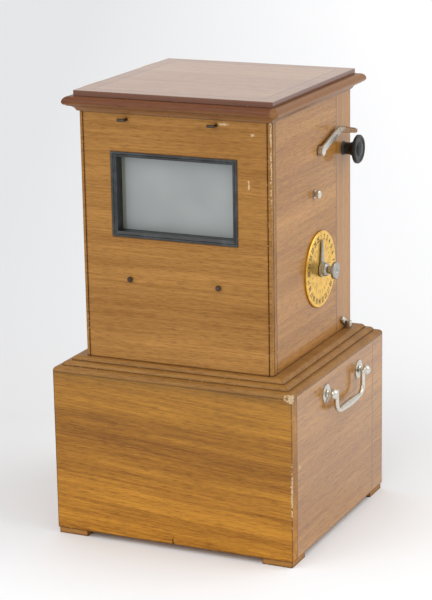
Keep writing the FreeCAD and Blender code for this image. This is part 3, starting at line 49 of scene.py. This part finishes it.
# Places measured on the solids
NOSE_SHARE = 0.55
CORNICE_NOSE_DEPTH = 8 * MM
base_low, base_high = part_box("base_rear_board")
screen_low, screen_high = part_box("screen_board")
lid_low, lid_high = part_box("lid_panel")
cornice_low, cornice_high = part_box("cornice")
dial_low, dial_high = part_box("dial_plate")
glass_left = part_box("ground_glass")[0].x
base_corner = Vector((base_high.x, base_low.y, base_high.z))
base_foot = Vector((0.5 * (base_low.x + base_high.x), base_low.y, base_low.z))
screen_corner = Vector((screen_high.x, screen_low.y, screen_high.z))
nose_z = (1.0 - NOSE_SHARE) * cornice_low.z + NOSE_SHARE * cornice_high.z
mitre_x = cornice_high.x - CORNICE_NOSE_DEPTH


def rgb(red, green, blue):
    return (red, green, blue, 1.0)


class Finish:
    """A node material on a Principled surface, its colour laid on in layers."""

    def __init__(self, name, colour=None):
        self.name = name
        self.material = bpy.data.materials.new(name)
        self.material.use_nodes = True
        self.tree = self.material.node_tree
        self.surface = self.tree.nodes["Principled BSDF"]
        self.place = self.node("TexCoord").outputs["Object"]
        self.colour = colour

    def node(self, kind, inputs=None, **settings):
        made = self.tree.nodes.new("ShaderNode" + kind)
        for name, value in settings.items():
            setattr(made, name, value)
        for socket, value in (inputs or {}).items():
            self.feed(made.inputs[socket], value)
        return made

    def feed(self, socket, value):
        if isinstance(value, bpy.types.NodeSocket):
            self.tree.links.new(value, socket)
        else:
            socket.default_value = value

    def set(self, **inputs):
        for name, value in inputs.items():
            self.feed(self.surface.inputs[name.replace("_", " ")], value)

    def stretched(self, lengths, lean=0.0):
        """Texture space drawn out along each axis, leaning a little about Y."""
        inputs = {"Vector": self.place, "Scale": lengths, "Rotation": (0.0, math.radians(lean), 0.0)}
        return self.node("Mapping", inputs, vector_type="TEXTURE").outputs["Vector"]

    def noise(self, vector, scale, detail=4.0, roughness=0.5, distortion=0.0):
        inputs = {
            "Vector": vector,
            "Scale": scale,
            "Detail": detail,
            "Roughness": roughness,
            "Distortion": distortion,
        }
        return self.node("TexNoise", inputs).outputs["Fac"]

    def math(self, operation, *values):
        return self.node("Math", dict(enumerate(values)), operation=operation).outputs[0]

    def vector_math(self, operation, *vectors):
        return self.node("VectorMath", dict(enumerate(vectors)), operation=operation).outputs

    def axes(self, vector):
        """The X, Y and Z of a vector, each on its own."""
        return self.node("SeparateXYZ", {0: vector}).outputs

    def ramp(self, factor, low, high):
        """Runs from 0 at low to 1 at high, kept within that range."""
        inputs = {"Value": factor, "From Min": low, "From Max": high}
        return self.node("MapRange", inputs).outputs["Result"]

    def mix(self, factor, first, second):
        inputs = {0: factor, 6: first, 7: second}
        return self.node("Mix", inputs, data_type="RGBA").outputs[2]

    def cover(self, mask, strength, colour):
        """Lays a colour over the layers so far wherever the mask lets it through."""
        self.colour = self.mix(self.math("MULTIPLY", mask, strength), self.colour, colour)

    def worn_edges(self, radius):
        """1 on edges within the radius, 0 on open faces, told by how far rounding turns the surface."""
        open_face = 0.998
        full_edge = 0.92
        rounded = self.node("Bevel", {"Radius": radius}, samples=6).outputs["Normal"]
        flat = self.node("NewGeometry").outputs["Normal"]
        agreement = self.vector_math("DOT_PRODUCT", rounded, flat)["Value"]
        return self.ramp(agreement, open_face, full_edge)

    def grime(self, distance):
        """Painted shade: 1 in corners and under ledges, 0 in the open."""
        open_air = 0.75
        deep_corner = 0.25
        shelter = self.node("AmbientOcclusion", {"Distance": distance}, samples=8).outputs["AO"]
        return self.ramp(shelter, open_air, deep_corner)

    def chips(self, middle, reach):
        """Ragged flecks within an ellipsoid round a point, thinning out from its middle."""
        offset = self.vector_math("SUBTRACT", self.place, middle)["Vector"]
        spread = self.vector_math("DIVIDE", offset, reach)["Vector"]
        inside = self.ramp(self.vector_math("LENGTH", spread)["Value"], 1.0, 0.0)
        crumbs = self.noise(self.place, scale=420.0, detail=3.0, roughness=0.7)
        ragged = self.math("MULTIPLY_ADD", inside, 0.5, crumbs)
        return self.ramp(ragged, 0.78, 0.84)

    def bump(self, height, strength, distance):
        """Joins the laid colour to the surface and gives it a fine relief."""
        inputs = {"Height": height, "Strength": strength, "Distance": distance}
        self.set(Base_Color=self.colour, Normal=self.node("Bump", inputs).outputs["Normal"])
        return self


# Wood grain: its directions, and how far fibres and flecks are drawn out along it
GRAIN_ACROSS = Vector((1.0, 0.0, 0.0))
GRAIN_DEEP = Vector((0.0, 1.0, 0.0))
GRAIN_UP = Vector((0.0, 0.0, 1.0))
EVERY_WAY = Vector((1.0, 1.0, 1.0))
FIBRE_LENGTH = 36.0
FLECK_LENGTH = 10.0

# Share of each pattern in the tone of the wood, and how far the tone runs each side of its middle
FIGURE_SHARE = 0.65
STREAK_SHARE = 0.45
FIBRE_SHARE = 0.6
FLECK_SHARE = -0.3
TONE_MIDDLE = 0.5 * (FIGURE_SHARE + STREAK_SHARE + FIBRE_SHARE + FLECK_SHARE)
TONE_REACH = 0.34

# Colours of the woods
BARE_WOOD = rgb(0.66, 0.49, 0.29)
BASE_DARK = rgb(0.23, 0.076, 0.004)
BASE_LIGHT = rgb(0.60, 0.263, 0.027)
BASE_BROWNED = rgb(0.19, 0.125, 0.05)
BASE_TOP_DARK = rgb(0.06, 0.035, 0.015)
SPLIT_SHADOW = rgb(0.03, 0.012, 0.006)
FRONT_DARK = rgb(0.245, 0.10, 0.015)
FRONT_LIGHT = rgb(0.49, 0.24, 0.06)
SIDE_DARK = rgb(0.29, 0.115, 0.016)
SIDE_LIGHT = rgb(0.52, 0.245, 0.052)
MOULDING_DARK = rgb(0.20, 0.082, 0.014)
MOULDING_LIGHT = rgb(0.42, 0.21, 0.055)
CORNICE_DARK = rgb(0.085, 0.026, 0.006)
CORNICE_LIGHT = rgb(0.29, 0.110, 0.026)
# Painted reflections on the cornice's nose and cove, and painted light on its control side
CORNICE_NOSE_REFLECTION = rgb(0.13, 0.03, 0.006)
CORNICE_COVE_REFLECTION = rgb(0.29, 0.13, 0.04)
CORNICE_LIT_SIDE = rgb(0.36, 0.17, 0.05)
LID_DARK = rgb(0.30, 0.125, 0.05)
LID_LIGHT = rgb(0.50, 0.27, 0.13)
LID_BORDER = rgb(0.24, 0.10, 0.05)
LID_LINE = rgb(0.05, 0.02, 0.012)
# Painted shade for the lid's edges
LID_EDGE_SHADE = rgb(0.13, 0.032, 0.006)
BEECH_DARK = rgb(0.24, 0.13, 0.055)
BEECH_LIGHT = rgb(0.46, 0.29, 0.14)


# Surfaces
def wood(
    name, dark, light, grain, contrast=1.0, roughness=0.4, coat=0.0, lean=0.0, edge_dirt=0.8, extra=None
):
    """Polished mahogany: broad figure, streaks, fibre, open pores, dark edges and painted shade in the
    corners.
    """
    finish = Finish(name)
    along = finish.stretched(EVERY_WAY + grain * FIBRE_LENGTH, lean)
    short = finish.stretched(EVERY_WAY + grain * FLECK_LENGTH)
    figure = finish.noise(along, scale=22.0, detail=3.0, roughness=0.55, distortion=0.6)
    streaks = finish.noise(along, scale=170.0, detail=3.0, roughness=0.6)
    fibre = finish.noise(along, scale=640.0, detail=5.0, roughness=0.7)
    flecks = finish.noise(short, scale=1000.0, detail=3.0, roughness=0.7)
    specks = finish.noise(finish.place, scale=380.0, detail=3.0)
    patch = finish.noise(finish.place, scale=9.0, detail=2.0)
    pores = finish.ramp(flecks, 0.50, 0.70)
    edges = finish.worn_edges(2.2 * MM)
    rubbed = finish.math("MULTIPLY", edges, finish.ramp(specks, 0.66, 0.70))

    tone = finish.math("MULTIPLY", figure, FIGURE_SHARE)
    for pattern, share in ((streaks, STREAK_SHARE), (fibre, FIBRE_SHARE), (flecks, FLECK_SHARE)):
        tone = finish.math("MULTIPLY_ADD", pattern, share, tone)
    reach = TONE_REACH / contrast
    finish.colour = finish.mix(finish.ramp(tone, TONE_MIDDLE - reach, TONE_MIDDLE + reach), dark, light)

    black = rgb(dark[0] * 0.25, dark[1] * 0.2, dark[2] * 0.3)
    finish.cover(finish.ramp(patch, 0.35, 0.75), 0.2, dark)
    finish.cover(pores, 0.4, black)
    # Painted shade, darkening the wood in corners and under ledges.
    finish.cover(finish.grime(4 * MM), 0.85, black)
    finish.cover(edges, edge_dirt, black)
    finish.cover(rubbed, 0.8, BARE_WOOD)
    if extra:
        extra(finish)

    dull = finish.math("MULTIPLY_ADD", patch, 0.16, roughness - 0.08)
    finish.set(Roughness=dull, Specular_IOR_Level=0.2, Coat_Weight=coat, Coat_Roughness=0.06)
    height = finish.math("MULTIPLY_ADD", fibre, 0.4, finish.math("MULTIPLY", pores, -1.0))
    return finish.bump(height, strength=0.2, distance=0.2 * MM)


def metal(name, bright, dull, roughness, smudge=0.5):
    """Plated or lacquered metal with finger marks and painted shade in the corners."""
    finish = Finish(name, bright)
    cloud = finish.noise(finish.place, scale=160.0, detail=4.0, roughness=0.6)
    fine = finish.noise(finish.place, scale=1400.0, detail=3.0)
    finish.cover(finish.ramp(cloud, 0.45, 0.75), smudge, dull)
    # Painted shade, darkening the metal in corners and recesses.
    finish.cover(finish.grime(3 * MM), 0.6, rgb(0.05, 0.04, 0.03))
    rough = finish.math("MULTIPLY_ADD", cloud, 0.22, roughness)
    finish.set(Metallic=1.0, Roughness=rough)
    return finish.bump(fine, strength=0.08, distance=0.1 * MM)


def painted(name, colour, wear_and_highlight, roughness, coat=0.0):
    """A dark finish, paler along its edges: rubbed wear, and on the window frame a painted highlight."""
    finish = Finish(name, colour)
    cloud = finish.noise(finish.place, scale=90.0, detail=4.0)
    tooth = finish.noise(finish.place, scale=900.0, detail=3.0)
    finish.cover(finish.ramp(cloud, 0.5, 0.8), 0.35, wear_and_highlight)
    finish.cover(finish.worn_edges(0.9 * MM), finish.ramp(cloud, 0.35, 0.7), wear_and_highlight)
    rough = finish.math("MULTIPLY_ADD", cloud, 0.2, roughness)
    finish.set(Roughness=rough, Coat_Weight=coat)
    return finish.bump(tooth, strength=0.1, distance=0.1 * MM)


def ground_glass(name):
    """Grey ground glass with a fine tooth and a dark olive strip along its left edge."""
    finish = Finish(name, rgb(0.27, 0.29, 0.285))
    cloud = finish.noise(finish.place, scale=16.0, detail=2.0)
    tooth = finish.noise(finish.place, scale=5200.0, detail=2.0)
    tint_end = glass_left + 9 * MM
    left_strip = finish.ramp(finish.axes(finish.place)["X"], tint_end, tint_end - 1 * MM)
    finish.cover(finish.ramp(cloud, 0.3, 0.7), 1.0, rgb(0.33, 0.35, 0.345))
    finish.cover(left_strip, 0.6, rgb(0.12, 0.115, 0.05))
    finish.set(Roughness=0.5, Coat_Weight=0.2, Coat_Roughness=0.3)
    return finish.bump(tooth, strength=0.2, distance=0.1 * MM)


def lens_glass(name):
    """Clear lens glass with a faint dusting."""
    finish = Finish(name, rgb(0.93, 0.97, 0.96))
    dust = finish.noise(finish.place, scale=700.0, detail=3.0)
    finish.cover(finish.ramp(dust, 0.6, 0.8), 1.0, rgb(0.8, 0.85, 0.84))
    rough = finish.math("MULTIPLY", finish.ramp(dust, 0.55, 0.8), 0.2)
    finish.set(Roughness=rough, Transmission_Weight=1.0, IOR=1.5)
    return finish.bump(dust, strength=0.02, distance=0.1 * MM)


# Wear and tones seen in the photograph, placed on the solids they show on
def rub(finish, corner, shift, reach):
    """Lets bare wood show in flecks, at a shift from a corner and within a reach of it, both in mm."""
    flecks = finish.chips(corner + Vector(shift) * MM, Vector(reach) * MM)
    finish.cover(flecks, 0.8, BARE_WOOD)


def near_corner_wear(finish):
    """Flecks at the top corner of the base between the screen side and the control side."""
    rub(finish, base_corner, shift=(0, 0, 0), reach=(14, 14, 10))


def base_wear(finish):
    """Browner and darker towards the top, flecks at its near corner and down the edge, and a split at the
    foot.
    """
    height = finish.axes(finish.place)["Z"]
    darkening_start = base_high.z - 10 * MM
    finish.cover(finish.ramp(height, base_low.z, base_high.z), 0.3, BASE_BROWNED)
    # Darkens the top 10 mm of the base.
    finish.cover(finish.ramp(height, darkening_start, base_high.z), 0.4, BASE_TOP_DARK)
    near_corner_wear(finish)
    rub(finish, base_corner, shift=(0, 0, -90), reach=(3, 3, 60))
    split = finish.chips(base_foot, Vector((2.2, 8, 15)) * MM)
    finish.cover(split, 0.9, SPLIT_SHADOW)


def flank_wear(finish):
    """Flecks at the near corner and two chips low on the side."""
    near_corner_wear(finish)
    rub(finish, base_corner, shift=(0, 18, -70), reach=(10, 3, 4))
    rub(finish, base_corner, shift=(0, 8, -105), reach=(10, 3, 6))


def screen_wear(finish):
    """A rubbed corner bead, its pale strip also a painted highlight, nicks by the right-hand pin and a
    scratch under it.
    """
    # Pale flecks down the corner bead: rubbed wear and a painted highlight along it.
    rub(finish, screen_corner, shift=(0, 0, 0), reach=(2.2, 4, 200))
    rub(finish, screen_corner, shift=(-47, 0, -4), reach=(12, 10, 3))
    rub(finish, screen_corner, shift=(-18, 0, -12), reach=(4, 10, 3))
    rub(finish, screen_corner, shift=(-22, 0, -58), reach=(2, 10, 8))


def cornice_tones(finish):
    """A dark red nose that pales to golden brown below, and a paler length on the control side, all painted
    light: a dark reflection on the nose, a pale reflection on the cove and the key light on the control side.
    """
    place = finish.axes(finish.place)
    cove_reflection = finish.ramp(place["Z"], nose_z + 1 * MM, nose_z - 3 * MM)
    nose_reflection = finish.ramp(place["Z"], nose_z, nose_z + 2 * MM)
    lit_control_side = finish.ramp(place["X"], mitre_x - 1 * MM, mitre_x + 1 * MM)
    # Painted reflections, a pale one on the cove and a dark one along the nose, then painted light on the
    # control side.
    finish.cover(cove_reflection, 0.6, CORNICE_COVE_REFLECTION)
    finish.cover(nose_reflection, 0.6, CORNICE_NOSE_REFLECTION)
    finish.cover(lit_control_side, 0.45, CORNICE_LIT_SIDE)


def lid_banding(finish):
    """A border of its own tone, set off by a thin dark line, and edges darker than the top as painted shade.
    """
    centre = 0.5 * (lid_low + lid_high)
    half = 0.5 * (lid_high - lid_low)
    border = 14 * MM
    half_line = 0.5 * MM
    top_skin = 0.6 * MM
    offset = finish.vector_math("SUBTRACT", finish.place, centre)["Vector"]
    spread = finish.vector_math("ABSOLUTE", offset)["Vector"]
    inset = finish.axes(finish.vector_math("SUBTRACT", half, spread)["Vector"])
    depth = finish.math("MINIMUM", inset["X"], inset["Y"])
    finish.cover(finish.math("LESS_THAN", depth, border), 0.3, LID_BORDER)
    finish.cover(finish.math("COMPARE", depth, border, half_line), 0.75, LID_LINE)
    # Painted shade: every face below the top skin is darkened.
    finish.cover(finish.math("GREATER_THAN", inset["Z"], top_skin), 0.9, LID_EDGE_SHADE)


# One finish for each kind of surface
made_finishes = [
    wood("base_boards", BASE_DARK, BASE_LIGHT, GRAIN_ACROSS, contrast=2.0, lean=4.0, extra=base_wear),
    wood("base_flanks", SIDE_DARK, SIDE_LIGHT, GRAIN_DEEP, contrast=1.6, coat=0.75, extra=flank_wear),
    wood("front_boards", FRONT_DARK, FRONT_LIGHT, GRAIN_ACROSS, coat=0.2),
    wood("inner_wood", BEECH_DARK, BEECH_LIGHT, GRAIN_DEEP, roughness=0.6),
    wood("foot_wood", FRONT_DARK, FRONT_LIGHT, GRAIN_ACROSS, roughness=0.5),
    wood("moulding_wood", MOULDING_DARK, MOULDING_LIGHT, GRAIN_ACROSS, edge_dirt=0.45, extra=flank_wear),
    wood(
        "cornice_wood", CORNICE_DARK, CORNICE_LIGHT, GRAIN_ACROSS, contrast=1.8, coat=0.2, extra=cornice_tones
    ),
    wood("screen_wood", FRONT_DARK, FRONT_LIGHT, GRAIN_ACROSS, contrast=1.6, extra=screen_wear),
    wood("side_wood", SIDE_DARK, SIDE_LIGHT, GRAIN_DEEP, contrast=1.8, coat=0.4),
    wood("post_wood", SIDE_DARK, SIDE_LIGHT, GRAIN_UP, coat=0.55),
    wood("panel_wood", FRONT_DARK, FRONT_LIGHT, GRAIN_UP, coat=0.2),
    wood("lid_wood", LID_DARK, LID_LIGHT, GRAIN_ACROSS, contrast=1.8, coat=0.8, extra=lid_banding),
    wood("tray_wood", BEECH_DARK, BEECH_LIGHT, GRAIN_DEEP, roughness=0.55),
    # The frame's pale edge colour is a painted highlight along its beads.
    painted("black_frame", rgb(0.010, 0.010, 0.010), rgb(0.10, 0.12, 0.13), roughness=0.32, coat=0.2),
    ground_glass("ground_glass"),
    lens_glass("lens_glass"),
    metal("dial_brass", rgb(0.88, 0.53, 0.09), rgb(0.55, 0.31, 0.04), roughness=0.2, smudge=0.8),
    metal("brass", rgb(0.78, 0.56, 0.22), rgb(0.48, 0.32, 0.11), roughness=0.24),
    metal("nickel", rgb(0.68, 0.65, 0.58), rgb(0.42, 0.38, 0.32), roughness=0.16),
    metal("worn_nickel", rgb(0.42, 0.41, 0.37), rgb(0.22, 0.21, 0.19), roughness=0.24),
    metal("steel", rgb(0.55, 0.55, 0.56), rgb(0.36, 0.35, 0.34), roughness=0.3),
    metal("iron", rgb(0.10, 0.075, 0.06), rgb(0.05, 0.035, 0.03), roughness=0.45),
    painted("ebonite", rgb(0.005, 0.005, 0.005), rgb(0.022, 0.022, 0.022), roughness=0.3),
]
finishes = {finish.name: finish for finish in made_finishes}

# Finishes and softened edges for the solids; a few pieces differ from the rest of their slot
OWN_FINISH = {
    "base_sides": "base_flanks",
    "base_front_posts": "base_flanks",
    "front_posts": "post_wood",
    "dial_knob": "worn_nickel",
}
EDGE_ROUNDING = 0.7 * MM
SHARP_EDGE = math.radians(40)


def soften(piece):
    """Rounds the sharp edges of a solid, as a hand-rubbed finish does."""
    rounding = piece.modifiers.new("soft_edges", "BEVEL")
    rounding.width = EDGE_ROUNDING
    rounding.segments = 2
    rounding.limit_method = "ANGLE"
    rounding.angle_limit = SHARP_EDGE
    rounding.use_clamp_overlap = True


for entry in frame["record"]["subparts"]:
    piece = nodes[entry["node"]]
    slot = entry["material_slot"]
    finish = finishes[OWN_FINISH.get(entry["node"], slot)]
    piece.data.materials.clear()
    piece.data.materials.append(finish.material)
    if slot.endswith(("_wood", "_boards")):
        soften(piece)

# Dial numbers round the plate, and a ring of ticks inside them
DIAL_NUMBERS = 25
NUMBER_HEIGHT = 7.4 * MM
TICK_HEIGHT = 0.45 * NUMBER_HEIGHT
MARK_NARROWING = 0.74
INK_DEPTH = 0.04 * MM
INK_SPREAD = 0.2 * MM
dial_centre = Vector((dial_high.x, (dial_low.y + dial_high.y) / 2, (dial_low.z + dial_high.z) / 2))
dial_radius = (dial_high.z - dial_low.z) / 2
number_ring = 0.83 * dial_radius
tick_ring = 0.6 * dial_radius
facing_side = Matrix(((0, 0, 1), (1, 0, 0), (0, 1, 0))).to_4x4()
ink = painted("dial_ink", rgb(0.012, 0.010, 0.008), rgb(0.08, 0.05, 0.02), roughness=0.5)


def mark_dial(name, body, height, radius, angle):
    """Stands a mark on the dial, its top away from the middle, a turn clockwise from the top."""
    text = bpy.data.curves.new(name, "FONT")
    text.body = body
    text.size = height
    text.align_x = "CENTER"
    text.align_y = "CENTER"
    text.extrude = INK_DEPTH
    text.offset = INK_SPREAD
    text.materials.append(ink.material)
    mark = bpy.data.objects.new(name, text)
    bpy.context.scene.collection.objects.link(mark)
    turn = Matrix.Rotation(-angle, 4, "Z")
    out = Matrix.Translation((0.0, radius, 0.0))
    narrow = Matrix.Diagonal((MARK_NARROWING, 1.0, 1.0, 1.0))
    mark.matrix_world = Matrix.Translation(dial_centre) @ facing_side @ turn @ out @ narrow
    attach(mark, "cabinet")


for number in range(1, DIAL_NUMBERS + 1):
    angle = 2 * math.pi * (number - 1) / DIAL_NUMBERS
    mark_dial(f"dial_number_{number}", str(number), NUMBER_HEIGHT, number_ring, angle)
    mark_dial(f"dial_tick_{number}", "|", TICK_HEIGHT, tick_ring, angle)

# Stage: a pale floor that runs out of view, greyer towards the far left as painted shade, whiter to the right
# and near as painted light
FLOOR_SIZE = 40.0
FLOOR_RIGHTWARD = Vector((0.91, 0.42, 0.0))
FLOOR_FARTHER = Vector((-0.42, 0.91, 0.0))
PAPER_FAR_LEFT = rgb(0.705, 0.71, 0.72)
PAPER_FAR_RIGHT = rgb(0.92, 0.92, 0.93)
PAPER_NEAR = rgb(0.96, 0.98, 1.0)

bpy.ops.mesh.primitive_plane_add(size=FLOOR_SIZE)
floor = bpy.context.object
floor.name = "floor"
paper = Finish("paper", PAPER_FAR_LEFT)
rightward = paper.vector_math("DOT_PRODUCT", paper.place, FLOOR_RIGHTWARD)["Value"]
farther = paper.vector_math("DOT_PRODUCT", paper.place, FLOOR_FARTHER)["Value"]
fleck = paper.noise(paper.place, scale=900.0, detail=2.0)
# Painted light and shade: the floor whitens to the right and towards the near side.
paper.cover(paper.ramp(rightward, -0.35, 0.45), 1.0, PAPER_FAR_RIGHT)
paper.cover(paper.ramp(farther, 0.3, -0.15), 1.0, PAPER_NEAR)
paper.set(Roughness=0.8, Specular_IOR_Level=0.1)
paper.bump(fleck, strength=0.05, distance=0.1 * MM)
floor.data.materials.append(paper.material)

# Light: an even white surround and two broad suns
SKY_STRENGTH = 0.8

world = bpy.data.worlds.new("studio")
bpy.context.scene.world = world
world.use_nodes = True
sky = world.node_tree.nodes["Background"]
sky.inputs["Color"].default_value = rgb(1.0, 1.0, 1.0)
sky.inputs["Strength"].default_value = SKY_STRENGTH


def sun(name, direction, strength, spread):
    """A broad, even light that travels along a direction."""
    lamp = bpy.data.lights.new(name, "SUN")
    lamp.energy = strength
    lamp.angle = math.radians(spread)
    holder = bpy.data.objects.new(name, lamp)
    holder.rotation_euler = Vector(direction).to_track_quat("-Z", "Y").to_euler()
    bpy.context.scene.collection.objects.link(holder)


sun("key", direction=(-0.75, -0.25, -0.75), strength=0.8, spread=50.0)
sun("fill", direction=(0.25, 0.8, -0.6), strength=0.8, spread=60.0)

# Camera at the photograph's angle, found from the cabinet's corners
PHOTO_WIDTH = 432
PHOTO_HEIGHT = 600
RENDER_SCALE = 2
VIEW_YAW = math.radians(24.88)
VIEW_PITCH = math.radians(15.15)
VIEW_ROLL = math.radians(-0.97)
FOCAL_PIXELS = 2140.9
VIEW_DISTANCE = 2.1292
VIEW_SIDEWAYS = -0.0112
VIEW_RAISE = 0.2058

plumb = Vector((0.0, 0.0, 1.0))
level = Vector((math.cos(VIEW_YAW), math.sin(VIEW_YAW), 0.0))
forward = Vector((-math.sin(VIEW_YAW), math.cos(VIEW_YAW), 0.0))
ahead = forward * math.cos(VIEW_PITCH) - plumb * math.sin(VIEW_PITCH)
upward = level.cross(ahead)
right = level * math.cos(VIEW_ROLL) + upward * math.sin(VIEW_ROLL)
top = upward * math.cos(VIEW_ROLL) - level * math.sin(VIEW_ROLL)
stand = right * VIEW_SIDEWAYS + top * VIEW_RAISE - ahead * VIEW_DISTANCE

lens = bpy.data.cameras.new("camera")
lens.sensor_fit = "HORIZONTAL"
lens.lens = lens.sensor_width * FOCAL_PIXELS / PHOTO_WIDTH
camera = bpy.data.objects.new("camera", lens)
camera.matrix_world = Matrix.Translation(stand) @ Matrix((right, top, -ahead)).transposed().to_4x4()
bpy.context.scene.collection.objects.link(camera)
bpy.context.scene.camera = camera

render = bpy.context.scene.render
render.resolution_x = PHOTO_WIDTH * RENDER_SCALE
render.resolution_y = PHOTO_HEIGHT * RENDER_SCALE
bpy.context.scene.view_settings.view_transform = "Standard"
